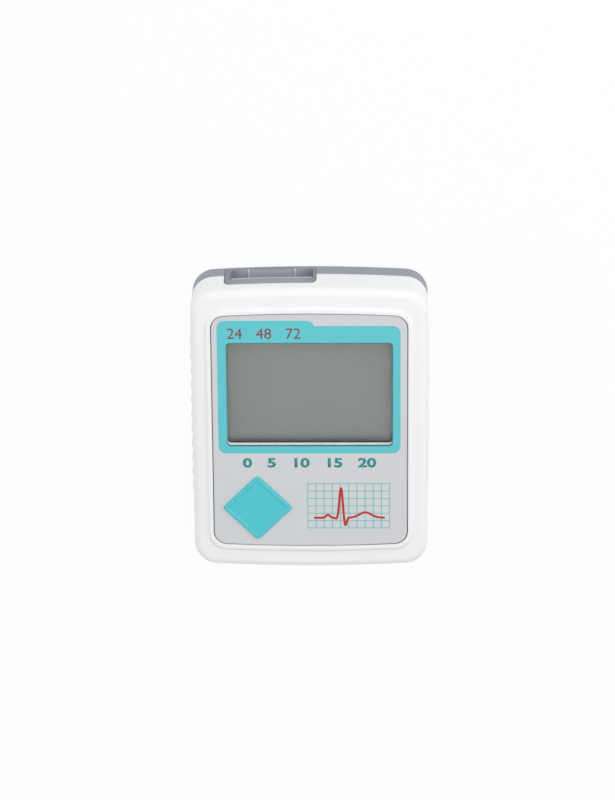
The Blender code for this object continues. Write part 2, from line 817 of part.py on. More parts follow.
def display():
    """The lens, the display cell behind it, the frame round both and the two contact strips."""
    lens = window_form("display_lens", LENS_FLANGE, lens_low, lens_shoulder, LENS_FLANGE)
    pad = window_form("lens_pad", -TOUCH_GAP, lens_low, label_face - LENS_RECESS, -TOUCH_GAP)
    join(lens, pad)
    make_part(lens, CLEAR_LENS)
    glass = block(
        "lcd_cell",
        (-glass_half_width, window_y - glass_half_length, glass_step),
        (glass_half_width, window_y + glass_half_length, glass_high),
    )
    rear_half = glass_half_length - GLASS_LEDGE
    rear_plate = block(
        "rear_glass_form",
        (-glass_half_width, window_y - rear_half, glass_low),
        (glass_half_width, window_y + rear_half, glass_step + FRONT_GLASS / 2),
    )
    join(glass, rear_plate)
    make_part(glass, DISPLAY_GLASS)
    frame = block(
        "lcd_frame",
        (-frame_half_width, window_y - frame_half_length, glass_low),
        (frame_half_width, window_y + frame_half_length, lens_shoulder),
    )
    inside = block(
        "frame_inside",
        (-glass_half_width - TOUCH_GAP, window_y - glass_half_length - TOUCH_GAP, glass_low - OVERRUN),
        (glass_half_width + TOUCH_GAP, window_y + glass_half_length + TOUCH_GAP, lens_low),
    )
    opening = window_form(
        "frame_opening", LENS_FLANGE + TOUCH_GAP, glass_low, face_inside, LENS_FLANGE + TOUCH_GAP
    )
    cut(frame, inside, opening)
    make_part(frame, BLACK_PLASTIC)
    strip_half = glass_half_width - STRIP_END_MARGIN
    middle = (rear_half + glass_half_length) / 2
    for name, side in (("contact_strip_upper", 1), ("contact_strip_lower", -1)):
        y = window_y + side * middle
        strip = block(
            name,
            (-strip_half, y - STRIP_WIDTH / 2, glass_low),
            (strip_half, y + STRIP_WIDTH / 2, glass_step - TOUCH_GAP),
        )
        make_part(strip, RUBBER_GREY)


def event_key():
    """The diamond key, whose flange stops it under the face, with a dished top and a post."""
    top = label_face + KEY_PRESSED_PROUD + KEY_TRAVEL
    key = key_form("event_button", 0.0, KEY_CORNER, lens_low, top)
    round_edges(key, KEY_EDGE, high_edge, 2)
    flange_low = lens_shoulder - KEY_FLANGE_THICKNESS
    flange = key_form(
        "key_flange", KEY_FLANGE, KEY_CORNER + KEY_FLANGE, flange_low, lens_shoulder
    )
    plunger_top = switch_heights()["plunger_high"]
    post = rods(
        "key_post",
        [(key_x, key_y)],
        KEY_POST_RADIUS,
        plunger_top + TOUCH_GAP,
        lens_shoulder - KEY_FLANGE_THICKNESS / 2,
        ROUND_SIDES,
    )
    join(key, flange, post)
    cut(key, key_form("key_dish", -KEY_RIM, KEY_CORNER / 2, top - KEY_DISH, top + OVERRUN))
    make_part(key, TEAL_PLASTIC)


def switch_heights():
    """The heights of the switch's pieces, from the board up."""
    low = board_high + TOUCH_GAP
    dome_low = low + SWITCH_FLOOR + TOUCH_GAP + DOME_THICKNESS
    plunger_low = dome_low + DOME_RISE + TOUCH_GAP
    plunger_high = lens_shoulder - KEY_FLANGE_THICKNESS - 2 * TOUCH_GAP
    return {"low": low, "dome_low": dome_low, "plunger_low": plunger_low, "plunger_high": plunger_high}


def key_switch():
    """The tact switch on the board: its base, the snap dome in it and the plunger on the dome."""
    heights = switch_heights()
    half = SWITCH_SIDE / 2
    low = heights["low"]
    base = block(
        "switch_base",
        (key_x - half, key_y - half, low),
        (key_x + half, key_y + half, low + SWITCH_HEIGHT),
    )
    bore = rods(
        "switch_bore",
        [(key_x, key_y)],
        SWITCH_BORE_RADIUS,
        low + SWITCH_FLOOR,
        low + SWITCH_HEIGHT + OVERRUN,
        FINE_SIDES,
    )
    cut(base, bore)
    make_part(base, BLACK_PLASTIC)
    dome = turned("snap_dome", dome_profile(), FINE_SIDES)
    dome.location = (key_x, key_y, heights["dome_low"])
    make_part(dome, STEEL)
    plunger = rods(
        "switch_plunger",
        [(0.0, 0.0)],
        PLUNGER_RADIUS,
        0.0,
        heights["plunger_high"] - heights["plunger_low"],
        ROUND_SIDES,
    )
    plunger.location = (key_x, key_y, heights["plunger_low"])
    make_part(plunger, BLACK_PLASTIC)


def dome_profile():
    """Half a section of the snap dome: out along its cap's outside, and back along its inside."""
    radius = (DOME_RADIUS**2 + DOME_RISE**2) / (2 * DOME_RISE)
    reach = math.asin(DOME_RADIUS / radius)
    outside = []
    inside = []
    for step in range(5):
        angle = reach * step / 4
        outside.append((radius * math.sin(angle), DOME_RISE - radius * (1 - math.cos(angle))))
        inner = radius - DOME_THICKNESS
        inside.append((inner * math.sin(angle), DOME_RISE - radius + inner * math.cos(angle)))
    return outside + inside[::-1]


def battery(name, y, sign):
    """One battery cell along X, with its nub at the end that sign gives."""
    radius = CELL_DIAMETER / 2
    shoulder = CELL_LENGTH - CELL_NUB_HEIGHT
    profile = [
        (0.0, CELL_LENGTH),
        (CELL_NUB_RADIUS, CELL_LENGTH),
        (CELL_NUB_RADIUS, shoulder),
        (radius - CELL_SHOULDER, shoulder),
        (radius, shoulder - CELL_SHOULDER),
        (radius, CELL_SHOULDER),
        (radius - CELL_SHOULDER, 0.0),
        (0.0, 0.0),
    ]
    cell = turned(name, profile, FINE_SIDES)
    tip = bay_half - plate_face - TOUCH_GAP
    cell.location = (sign * (tip - CELL_LENGTH), y, cell_middle_z)
    cell.rotation_euler.y = sign * math.pi / 2
    make_part(cell, BATTERY_WRAP)


def coil_route(y, sign):
    """The centre line of a contact spring, which tapers from its plate towards the cell."""
    count = int(SPRING_TURNS * TURN_POINTS)
    start = bay_half - plate_face
    run = SPRING_LENGTH - SPRING_WIRE_RADIUS
    route = []
    for step in range(count + 1):
        share = step / count
        angle = 2 * math.pi * SPRING_TURNS * share
        radius = SPRING_BASE_RADIUS + (SPRING_TIP_RADIUS - SPRING_BASE_RADIUS) * share
        x = sign * (start - run * share)
        route.append((x, y + radius * math.cos(angle), cell_middle_z + radius * math.sin(angle)))
    return route


def least_self_gap(route, radius):
    """The least gap between a coil's wire and itself, for points over half a turn apart."""
    apart = TURN_POINTS // 2
    gaps = [
        (Vector(first) - Vector(second)).length
        for index, first in enumerate(route)
        for second in route[index + apart + 1 :]
    ]
    return min(gaps) - 2 * radius


def contact_plate(name, y, sign, width):
    """A battery contact plate that stands against an end wall of the bay."""
    outer = sign * (bay_half - TOUCH_GAP)
    inner = sign * (bay_half - TOUCH_GAP - CONTACT_PLATE)
    low = cell_middle_z - CONTACT_HEIGHT / 2
    return block(
        name,
        (min(outer, inner), y - width / 2, low),
        (max(outer, inner), y + width / 2, low + CONTACT_HEIGHT),
    )


def contact_tab(name, y):
    """The tab of a contact plate, up through the bay's ceiling to the board."""
    outer = TOUCH_GAP - bay_half
    return block(
        name,
        (outer, y - TAB_WIDTH / 2, cell_middle_z),
        (outer + CONTACT_PLATE, y + TAB_WIDTH / 2, below_board),
    )


def battery_contacts():
    """The plates and springs that connect the two cells in series."""
    upper_spring = coil_route(cell_upper_y, 1)
    lower_spring = coil_route(cell_lower_y, -1)
    print("least gap of a contact spring to itself:", least_self_gap(upper_spring, SPRING_WIRE_RADIUS))
    positive = contact_plate("positive_contact", cell_upper_y, -1, CONTACT_WIDTH)
    join(positive, contact_tab("positive_tab", cell_upper_y))
    make_part(positive, STEEL)
    negative = contact_plate("negative_contact", cell_lower_y, -1, CONTACT_WIDTH)
    join(negative, contact_tab("negative_tab", cell_lower_y))
    join(negative, wire("negative_spring", lower_spring, SPRING_WIRE_RADIUS, 1))
    make_part(negative, STEEL)
    middle = (cell_upper_y + cell_lower_y) / 2
    span = cell_upper_y - cell_lower_y + CONTACT_WIDTH
    series = contact_plate("series_contact", middle, 1, span)
    join(series, wire("series_spring", upper_spring, SPRING_WIRE_RADIUS, 1))
    make_part(series, STEEL)


def battery_door():
    """The door that slides off the back along -Y, cut from the case's own outside, with rails."""
    door = case_form("battery_door")
    end = -half_length - OVERRUN
    plate_half = bay_half - DOOR_LIP - TOUCH_GAP
    rail_half = bay_half + DOOR_RAIL - TOUCH_GAP
    keep = block(
        "door_plate", (-plate_half, end, -OVERRUN), (plate_half, door_top_y - TOUCH_GAP, DOOR_THICKNESS)
    )
    rails = block(
        "door_rails",
        (-rail_half, end, DOOR_LIP_THICKNESS + TOUCH_GAP),
        (rail_half, rail_top_y - TOUCH_GAP, DOOR_THICKNESS),
    )
    join(keep, rails)
    combine(door, keep, "INTERSECT")
    first = (door_top_y + bay_low_y) / 2 - GRIP_PITCH * (GRIP_COUNT - 1) / 2
    for row in range(GRIP_COUNT):
        y = first + GRIP_PITCH * row
        groove = block(
            "grip_groove",
            (-GRIP_LENGTH / 2, y - GRIP_WIDTH / 2, -OVERRUN),
            (GRIP_LENGTH / 2, y + GRIP_WIDTH / 2, GRIP_DEPTH),
        )
        cut(door, groove)
    make_part(door, GREY_PLASTIC)


def patient_socket():
    """The socket for the patient cable: its housing, the insulator in it and the contacts."""
    side = SOCKET_WIDTH / 2
    housing = case_form("connector_housing")
    keep = block(
        "housing_form",
        (socket_x - side, socket_back_y, socket_low),
        (socket_x + side, half_length + OVERRUN, SOCKET_TOP),
    )
    round_edges(keep, SOCKET_CORNER, high_end_edge)
    combine(housing, keep, "INTERSECT")
    mouth_half = MOUTH_WIDTH / 2
    mouth = block(
        "mouth_form",
        (mouth_x - mouth_half, pocket_y, mouth_low),
        (mouth_x + mouth_half, half_length + OVERRUN, MOUTH_TOP),
    )
    cut(housing, mouth, mouth_flare(), contact_slot())
    for share in KEYING_RIB_SHARES:
        x = mouth_x + share * mouth_half
        rib = block(
            "keying_rib",
            (x - KEYING_RIB_WIDTH / 2, insulator_front_y + TOUCH_GAP, mouth_low - MOUTH_FLOOR / 2),
            (x + KEYING_RIB_WIDTH / 2, half_length - MOUTH_FLARE, mouth_low + KEYING_RIB_HEIGHT),
        )
        join(housing, rib)
    make_part(housing, GREY_PLASTIC)
    insulator = block(
        "socket_insulator",
        (mouth_x - mouth_half + TOUCH_GAP, insulator_y, mouth_low + TOUCH_GAP),
        (mouth_x + mouth_half - TOUCH_GAP, insulator_front_y, MOUTH_TOP - TOUCH_GAP),
    )
    places = [(x, contact_middle_z) for x in contact_columns()]
    bores = rods(
        "contact_bores",
        places,
        CONTACT_BORE_RADIUS,
        insulator_y - OVERRUN,
        insulator_front_y + OVERRUN,
        SMALL_SIDES,
        "Y",
    )
    cut(insulator, bores)
    make_part(insulator, BLACK_PLASTIC)
    tail_y = socket_back_y - TAIL_LENGTH
    for number, (x, z) in enumerate(places, 1):
        front = (x, insulator_front_y - TOUCH_GAP, z)
        route = [front, (x, tail_y, z), (x, tail_y, above_amplifier)]
        make_part(wire(f"socket_contact_{number}", route, CONTACT_RADIUS, 1), GOLD)


def contact_columns():
    """The places of the socket's contacts along X."""
    first = mouth_x - CONTACT_PITCH * (CONTACT_COUNT - 1) / 2
    return [first + CONTACT_PITCH * column for column in range(CONTACT_COUNT)]


def mouth_flare():
    """The wedge-ended block that opens the mouth's two end walls towards the outside."""
    half = MOUTH_WIDTH / 2
    flare = block(
        "mouth_flare_form",
        (mouth_x - half, half_length - MOUTH_FLARE_DEPTH, mouth_low),
        (mouth_x + half, half_length + MOUTH_FLARE, MOUTH_TOP),
    )
    for vertex in flare.data.vertices:
        if vertex.co.y > 0:
            vertex.co.x += math.copysign(MOUTH_FLARE, vertex.co.x)
    return flare


def contact_slot():
    """The opening in the housing's back wall that the contacts' tails come out of."""
    rise = CONTACT_RADIUS + CONTACT_SLOT_MARGIN
    across = CONTACT_PITCH * (CONTACT_COUNT - 1) / 2 + rise
    return block(
        "contact_slot",
        (mouth_x - across, socket_back_y - OVERRUN, contact_middle_z - rise),
        (mouth_x + across, pocket_y + OVERRUN, contact_middle_z + rise),
    )


def boards():
    """The main board under the display, and the amplifier board over the back."""
    middle = (0.0, (board_low_y + board_high_y) / 2)
    outline = rounded_outline(
        board_half_width, (board_high_y - board_low_y) / 2, BOARD_CORNER, middle
    )
    main_board = slab("main_board", outline, board_low, board_high)
    bores = rods(
        "main_board_bores",
        board_posts(),
        BOARD_SCREW_RADIUS + SCREW_CLEARANCE,
        board_low - OVERRUN,
        board_high + OVERRUN,
        SMALL_SIDES,
    )
    cut(main_board, bores)
    make_part(main_board, GREEN_BOARD)
    middle = (0.0, (amplifier_low_y + board_high_y) / 2)
    outline = rounded_outline(
        amplifier_half_width, (board_high_y - amplifier_low_y) / 2, BOARD_CORNER, middle
    )
    amplifier_board = slab("amplifier_board", outline, amplifier_low, amplifier_high)
    bores = rods(
        "amplifier_board_bores",
        amplifier_posts(),
        BOARD_SCREW_RADIUS + SCREW_CLEARANCE,
        amplifier_low - OVERRUN,
        amplifier_high + OVERRUN,
        SMALL_SIDES,
    )
    cut(amplifier_board, bores)
    make_part(amplifier_board, GREEN_BOARD)


def board_place(shares):
    """The place on a board, from the middle of the case, that these two shares give."""
    across, along = shares
    return across * board_half_width, bay_end_y + along * (socket_back_y - bay_end_y)


def chip(name, size, place, low):
    """A flat chip body of size (x, y, z), standing on height low."""
    return block(
        name,
        (place[0] - size[0] / 2, place[1] - size[1] / 2, low),
        (place[0] + size[0] / 2, place[1] + size[1] / 2, low + size[2]),
    )


def main_board_parts():
    """What hangs under the main board."""
    place = board_place(MICROCONTROLLER_PLACE_SHARES)
    low = below_board - MICROCONTROLLER[2]
    make_part(chip("microcontroller", MICROCONTROLLER, place, low), BLACK_PLASTIC)
    place = board_place(MEMORY_CHIP_PLACE_SHARES)
    make_part(chip("memory_chip", MEMORY_CHIP, place, below_board - MEMORY_CHIP[2]), BLACK_PLASTIC)
    half = CRYSTAL[0] / 2
    outline = rounded_outline(half, CRYSTAL[1] / 2, half, board_place(CRYSTAL_PLACE_SHARES))
    make_part(slab("crystal", outline, below_board - CRYSTAL[2], below_board), STEEL)
    buzzer()
    for number, shares in enumerate(CAPACITOR_PLACE_SHARES, 1):
        can = rods(
            f"capacitor_{number}",
            [board_place(shares)],
            CAPACITOR_RADIUS,
            below_board - CAPACITOR_HEIGHT,
            below_board,
            ROUND_SIDES,
        )
        make_part(can, STEEL)
    inductor()
    backup_cell()


def buzzer():
    """The round sounder under the main board, with its sound hole."""
    places = [board_place(BUZZER_PLACE_SHARES)]
    low = below_board - BUZZER_HEIGHT
    case = rods("buzzer", places, BUZZER_RADIUS, low, below_board, FINE_SIDES)
    hole = rods(
        "sound_hole",
        places,
        BUZZER_HOLE_RADIUS,
        low - OVERRUN,
        low + BUZZER_HEIGHT / 2,
        SMALL_SIDES,
    )
    cut(case, hole)
    make_part(case, BLACK_PLASTIC)


def inductor():
    """The converter's coil under the main board: a round core on a square base."""
    place = board_place(INDUCTOR_PLACE_SHARES)
    size = (INDUCTOR_SIDE, INDUCTOR_SIDE, INDUCTOR_BASE)
    base = chip("inductor", size, place, below_board - INDUCTOR_BASE)
    core = rods(
        "inductor_core",
        [place],
        INDUCTOR_SIDE / 2 - INDUCTOR_EDGE,
        below_board - INDUCTOR_HEIGHT,
        below_board - INDUCTOR_BASE / 2,
        ROUND_SIDES,
    )
    join(base, core)
    make_part(base, BLACK_PLASTIC)


def backup_cell():
    """The coin cell that keeps the clock going, in its clip under the main board."""
    cell_low = below_board - BACKUP_CELL_HEIGHT
    inner = BACKUP_CELL_RADIUS - BACKUP_CELL_EDGE
    profile = [
        (0.0, 0.0),
        (BACKUP_CELL_RADIUS, 0.0),
        (BACKUP_CELL_RADIUS, BACKUP_CELL_EDGE - BACKUP_CELL_HEIGHT),
        (inner, -BACKUP_CELL_HEIGHT),
        (0.0, -BACKUP_CELL_HEIGHT),
    ]
    cell = turned("backup_cell", profile, FINE_SIDES)
    x, y = board_place(BACKUP_CELL_PLACE_SHARES)
    cell.location = (x, y, below_board)
    make_part(cell, STEEL)
    inside = BACKUP_CELL_RADIUS + TOUCH_GAP
    outside = inside + CLIP_THICKNESS
    clip = block(
        "cell_clip",
        (x - outside, y - CLIP_WIDTH / 2, cell_low - TOUCH_GAP - CLIP_THICKNESS),
        (x + outside, y + CLIP_WIDTH / 2, below_board),
    )
    room = block(
        "clip_room",
        (x - inside, y - CLIP_WIDTH, cell_low - TOUCH_GAP),
        (x + inside, y + CLIP_WIDTH, below_board + OVERRUN),
    )
    cut(clip, room)
    make_part(clip, STEEL)


def amplifier_parts():
    """What stands on the amplifier board: the shielded chips, the converter and the header."""
    can_x, can_y = board_place(SHIELD_CAN_PLACE_SHARES)
    for number in range(1, AMPLIFIER_CHIP_COUNT + 1):
        across = AMPLIFIER_CHIP_PITCH * (number - (AMPLIFIER_CHIP_COUNT + 1) / 2)
        name = f"amplifier_chip_{number}"
        make_part(chip(name, AMPLIFIER_CHIP, (can_x + across, can_y), above_amplifier), BLACK_PLASTIC)
    can = chip("shield_can", SHIELD_CAN, (can_x, can_y), above_amplifier)
    room_size = (SHIELD_CAN[0] - 2 * SHIELD_WALL, SHIELD_CAN[1] - 2 * SHIELD_WALL, SHIELD_CAN[2])
    cut(can, chip("can_room", room_size, (can_x, can_y), above_amplifier - SHIELD_WALL))
    make_part(can, STEEL)
    place = board_place(CONVERTER_CHIP_PLACE_SHARES)
    make_part(chip("converter_chip", CONVERTER_CHIP, place, above_amplifier), BLACK_PLASTIC)
    board_connector()


def board_connector():
    """The slotted header on the amplifier board, and the plug that joins it to the main board."""
    place = board_place(HEADER_PLACE_SHARES)
    header_high = above_amplifier + HEADER[2]
    slot_floor = header_high - HEADER_SLOT[2]
    header = chip("board_header", HEADER, place, above_amplifier)
    cut(header, chip("header_slot", HEADER_SLOT, place, slot_floor))
    make_part(header, BLACK_PLASTIC)
    plug_low = header_high + TOUCH_GAP
    plug = chip("header_plug", (HEADER[0], HEADER[1], below_board - plug_low), place, plug_low)
    tongue_low = slot_floor + TOUCH_GAP
    tongue_size = (
        HEADER_SLOT[0] - 2 * TOUCH_GAP,
        HEADER_SLOT[1] - 2 * TOUCH_GAP,
        below_board - TOUCH_GAP - tongue_low,
    )
    join(plug, chip("header_tongue", tongue_size, place, tongue_low))
    make_part(plug, BLACK_PLASTIC)


def screw(name, head_radius, head, radius, length):
    """A cross-head screw that points up, with the top of its head at its origin."""
    profile = [
        (0.0, length),
        (radius, length),
        (radius, 0.0),
        (head_radius, 0.0),
        (head_radius, -head),
        (0.0, -head),
    ]
    return turned(name, profile, ROUND_SIDES)


def cross_recess(name, head_radius, head, place):
    """The recess under a screw's head, for a screw whose origin is at place."""
    outline = cross_outline(head_radius * CROSS_REACH_SHARE, CROSS_WIDTH)
    recess = slab(name, outline, -head - OVERRUN, CROSS_DEPTH - head)
    recess.location += Vector(place)
    return recess


def cross_screw(name, sizes, place):
    """A screw of sizes (head radius, head, shank radius, length) that points up, at place."""
    head_radius, head = sizes[:2]
    obj = screw(name, *sizes)
    obj.location = place
    cut(obj, cross_recess(name + "_cross", head_radius, head, place))
    make_part(obj, STEEL)


def fasteners():
    """The three sets of screws: for the case, the main board and the amplifier board."""
    sizes = (CASE_SCREW_HEAD_RADIUS, CASE_SCREW_HEAD, CASE_SCREW_RADIUS, CASE_SCREW_LENGTH)
    for number, (x, y) in enumerate(four_posts(), 1):
        cross_screw(f"case_screw_{number}", sizes, (x, y, CASE_SCREW_SINK + CASE_SCREW_HEAD))
    sizes = (BOARD_SCREW_HEAD_RADIUS, BOARD_SCREW_HEAD, BOARD_SCREW_RADIUS, BOARD_SCREW_LENGTH)
    for number, (x, y) in enumerate(board_posts(), 1):
        cross_screw(f"board_screw_{number}", sizes, (x, y, below_board))
    sizes = (*sizes[:3], AMPLIFIER_SCREW_LENGTH)
    for number, (x, y) in enumerate(amplifier_posts(), 1):
        obj = screw(f"amplifier_screw_{number}", *sizes)
        obj.location = (x, y, above_amplifier)
        obj.rotation_euler.x = math.pi
        make_part(obj, STEEL)


PARTS = "holter_monitor"
CUTTERS = "holter_monitor_cutters"


def main():
    """Clears the scene and builds every piece."""
    for old in list(bpy.data.objects):
        bpy.data.objects.remove(old, do_unlink=True)
    new_collection(PARTS)
    new_collection(CUTTERS)
    front_shell()
    rear_shell()
    front_label()
    display()
    event_key()
    key_switch()
    battery("battery_upper", cell_upper_y, -1)
    battery("battery_lower", cell_lower_y, 1)
    battery_contacts()
    battery_door()
    patient_socket()
    boards()
    main_board_parts()
    amplifier_parts()
    fasteners()


main()
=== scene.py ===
"""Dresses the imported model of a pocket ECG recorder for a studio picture.

The recorder lies on its back: +Z points out of its face and +Y to the end with the cable socket.
Sizes in the classes are in millimetres, and the mesh builder turns them into metres.
"""

import json
import logging
import math
from dataclasses import dataclass
from enum import Enum

import bpy
import numpy as np
from mathutils import Matrix, Vector

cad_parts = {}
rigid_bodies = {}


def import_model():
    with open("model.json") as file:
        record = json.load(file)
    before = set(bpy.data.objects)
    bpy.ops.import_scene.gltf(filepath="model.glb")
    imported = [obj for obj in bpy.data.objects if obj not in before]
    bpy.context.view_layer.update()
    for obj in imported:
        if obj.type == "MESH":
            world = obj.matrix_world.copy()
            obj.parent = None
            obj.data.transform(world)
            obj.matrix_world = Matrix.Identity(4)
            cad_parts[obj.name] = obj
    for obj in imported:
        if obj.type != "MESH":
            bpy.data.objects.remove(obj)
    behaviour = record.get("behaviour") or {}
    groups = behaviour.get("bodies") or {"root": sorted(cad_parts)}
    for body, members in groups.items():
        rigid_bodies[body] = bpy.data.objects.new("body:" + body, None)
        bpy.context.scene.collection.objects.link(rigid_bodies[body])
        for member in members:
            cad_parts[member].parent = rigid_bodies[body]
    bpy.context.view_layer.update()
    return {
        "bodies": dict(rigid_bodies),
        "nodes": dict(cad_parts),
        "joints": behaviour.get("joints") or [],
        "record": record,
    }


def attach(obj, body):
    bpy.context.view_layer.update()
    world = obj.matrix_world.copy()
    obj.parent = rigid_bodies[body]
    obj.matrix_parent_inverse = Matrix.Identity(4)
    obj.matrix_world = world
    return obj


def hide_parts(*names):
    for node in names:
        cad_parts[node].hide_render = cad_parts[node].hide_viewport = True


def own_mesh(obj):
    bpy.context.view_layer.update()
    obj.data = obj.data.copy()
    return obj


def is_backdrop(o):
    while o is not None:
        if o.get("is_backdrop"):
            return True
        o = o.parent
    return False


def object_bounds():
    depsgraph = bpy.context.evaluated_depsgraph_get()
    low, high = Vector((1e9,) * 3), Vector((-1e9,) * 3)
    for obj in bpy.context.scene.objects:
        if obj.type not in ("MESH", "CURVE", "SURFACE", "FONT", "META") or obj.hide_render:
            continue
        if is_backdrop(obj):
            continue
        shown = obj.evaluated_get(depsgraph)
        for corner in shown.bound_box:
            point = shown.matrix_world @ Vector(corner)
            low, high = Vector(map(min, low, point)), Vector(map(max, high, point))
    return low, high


Array = np.ndarray
Pair = tuple[float, float]
Triple = tuple[float, float, float]
Colour = tuple[int, int, int]
Light = tuple[float, float, float, float]
Material = bpy.types.Material
Object = bpy.types.Object
Link = bpy.types.NodeSocket
LOG = logging.getLogger("recorder")
MM = 0.001
WELD_DIGITS = 6
SHARP_ANGLE = math.radians(33)
EDGE_HOLD = 0.03
CORNER_SLACK = 1.001
RAY_SLACK = 1e-9
RAY_DIGITS = 7
ON_LINE = 1e-6
SIDE_MARGIN = 0.01
CORNER_SHARES = np.linspace(0, 1, 13)
GRAIN_RANGE = (0.3, 0.7)
PATCH_RANGE = (0.25, 0.75)


class Body(Enum):
    """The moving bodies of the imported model."""

    CASE = "case"
    KEY = "event_key"
    DOOR = "door"


class Slot(Enum):
    """The material slots that the new pieces are built with; the builder doesn't read them."""

    WHITE = "white_plastic"
    GREY = "grey_plastic"
    OVERLAY = "overlay"
    LENS = "clear_lens"
    DISPLAY = "display_glass"
    TEAL = "teal_plastic"
    STEEL = "steel"
    WRAP = "battery_wrap"


# Shapes


@dataclass(frozen=True)
class Outline:
    """A closed outline with straight sides, bowed ends and round corners."""

    half_width: float
    half_length: float
    corner: float
    bow: float

    def grown(self, by: float) -> "Outline":
        """The outline at this distance outside this one."""
        return Outline(self.half_width + by, self.half_length + by, self.corner + by, self.bow + by)

    @property
    def reach(self) -> float:
        """How far the corner arcs' centres lie from the middle along X."""
        return self.half_width - self.corner

    @property
    def tilt(self) -> float:
        """Half the angle of an end's arc, in radians."""
        return math.asin(self.reach / (self.bow - self.corner))

    @property
    def rise(self) -> float:
        """How far the corner arcs' centres lie from the middle along Y."""
        return self.half_length - self.bow + (self.bow - self.corner) * math.cos(self.tilt)

    def end_y(self, x: Array | float) -> Array:
        """The y of the upper end's arc at each x."""
        return self.half_length - self.bow + np.sqrt(self.bow**2 - np.asarray(x) ** 2)


@dataclass(frozen=True)
class Columns:
    """Where an outline's points lie, as shares of its sides, corners and ends.

    The same columns fit every size of outline, so that loops of unlike size join point to point.
    """

    side: Array
    corner: Array
    top: Array
    bottom: Array

    def place(self, outline: Outline) -> Array:
        """The points of an outline, anticlockwise from its right side.

        A side point is at its share of the straight side. A corner point is at its share of the
        corner's arc, and an end point at its share of half the end's arc.

        Args:
            outline: The outline to put points on.

        Returns:
            The points, as rows of x and y.
        """
        tilt, reach, rise = outline.tilt, outline.reach, outline.rise
        turn = self.corner * (math.pi / 2 - tilt)
        round_corner = np.stack([outline.corner * np.cos(turn), outline.corner * np.sin(turn)], 1)
        centre = np.array([reach, rise])
        upper_right = centre + round_corner
        upper_left = (upper_right * [-1, 1])[::-1]
        right = np.stack([np.full(self.side.shape, outline.half_width), self.side * rise], 1)
        left = (right * [-1, 1])[::-1]

        def end(shares: Array) -> Array:
            """The points of the upper end at these shares of its half angle."""
            circle_at = np.stack([np.sin(shares * tilt), np.cos(shares * tilt)], 1)
            return outline.bow * circle_at + [0, outline.half_length - outline.bow]

        lower = end(self.bottom) * [1, -1]
        return np.concatenate(
            [right, upper_right, end(self.top), upper_left, left, -upper_right, lower, -upper_left]
        )

    def at(self, outline: Outline, height: float) -> Array:
        """The points of an outline at a height, as rows of x, y and z."""
        return level(self.place(outline), height)

    def rounding(self, outline: Outline, radius: float, face: float, way: int, steps: int) -> list[Array]:
        """The loops of a wall's rounded edge, which follow a quarter circle from its side to its face.

        Args:
            outline: The wall's outline.
            radius: The rounding's radius.
            face: The height of the face.
            way: 1 where the wall stands on the face, and -1 where it hangs under it.
            steps: How many loops there are.

        Returns:
            The loops.
        """
        rows = []
        for turn in np.linspace(0, math.pi / 2, steps):
            inset = radius * (1 - math.cos(turn))
            rows.append(self.at(outline.grown(-inset), face + way * radius * (1 - math.sin(turn))))
        return rows


def between(low: float, high: float, count: int) -> Array:
    """This many evenly spaced values between two ends, without the ends."""
    return np.linspace(low, high, count + 2)[1:-1]


def smooth_step(share: Array | float) -> Array:
    """A soft step from 0 to 1: three times the square less twice the cube."""
    share = np.clip(share, 0.0, 1.0)
    return share * share * (3 - 2 * share)


def rounded_box(low: Pair, high: Pair, corner: float, steps: int = 6) -> Array:
    """A rectangle with quarter circles at its corners, anticlockwise.

    Args:
        low: Its lower left corner.
        high: Its upper right corner.
        corner: The radius of its corners.
        steps: How many chords each quarter circle has.

    Returns:
        The points, as rows of two numbers.
    """
    angle = np.linspace(0, math.pi / 2, steps + 1)
    turn = np.concatenate([angle + quarter * math.pi / 2 for quarter in range(4)])
    side = np.repeat(np.array([[1, 1], [-1, 1], [-1, -1], [1, -1]]), steps + 1, axis=0)
    middle = (np.array(low) + high) / 2
    half = (np.array(high) - low) / 2
    return middle + side * (half - corner) + corner * np.stack([np.cos(turn), np.sin(turn)], 1)


def turns(count: int) -> Array:
    """This many evenly spaced angles round a full turn."""
    return np.linspace(0, 2 * math.pi, count, endpoint=False)


def circle(centre: Pair, radius: float, sides: int = 32) -> Array:
    """The points of a circle, anticlockwise."""
    angle = turns(sides)
    return np.array(centre) + radius * np.stack([np.cos(angle), np.sin(angle)], 1)


def rays_to(curve: Array, centre: Array, angles: Array) -> Array:
    """The points where rays from a centre meet a closed polygon that is seen whole from there.

    A ray with direction d meets the chord from a to b at the distance (a x b) / (d x (b - a)).

    Args:
        curve: The polygon's points.
        centre: The point that the rays leave.
        angles: The rays' angles, in radians.

    Returns:
        One point for each ray.
    """
    around = curve - centre
    bearing = np.arctan2(around[:, 1], around[:, 0])
    order = np.argsort(bearing, kind="stable")
    around, bearing = around[order], bearing[order]
    first = np.searchsorted(bearing, angles + RAY_SLACK, side="right") - 1
    start, end = around[first], around[(first + 1) % len(around)]
    ray = np.stack([np.cos(angles), np.sin(angles)], 1)
    chord = end - start
    across = ray[:, 0] * chord[:, 1] - ray[:, 1] * chord[:, 0]
    reach = (start[:, 0] * chord[:, 1] - start[:, 1] * chord[:, 0]) / across
    return centre + ray * reach[:, None]


def shared_rays(centre: Array, *curves: Array) -> Array:
    """The angles of every corner of these polygons, as seen from a centre, in order."""
    found = [np.arctan2(curve[:, 1] - centre[1], curve[:, 0] - centre[0]) for curve in curves]
    return np.unique(np.round(np.concatenate(found), RAY_DIGITS))


def paired(outer: Array, inner: Array, centre: Array) -> tuple[Array, Array]:
    """Two outlines' points on the rays from a centre through every corner of both.

    Args:
        outer: The outer outline.
        inner: The inner outline.
        centre: The point that the rays leave.

    Returns:
        The outer and the inner points, in the same order.
    """
    angles = shared_rays(centre, outer, inner)
    return rays_to(outer, centre, angles), rays_to(inner, centre, angles)


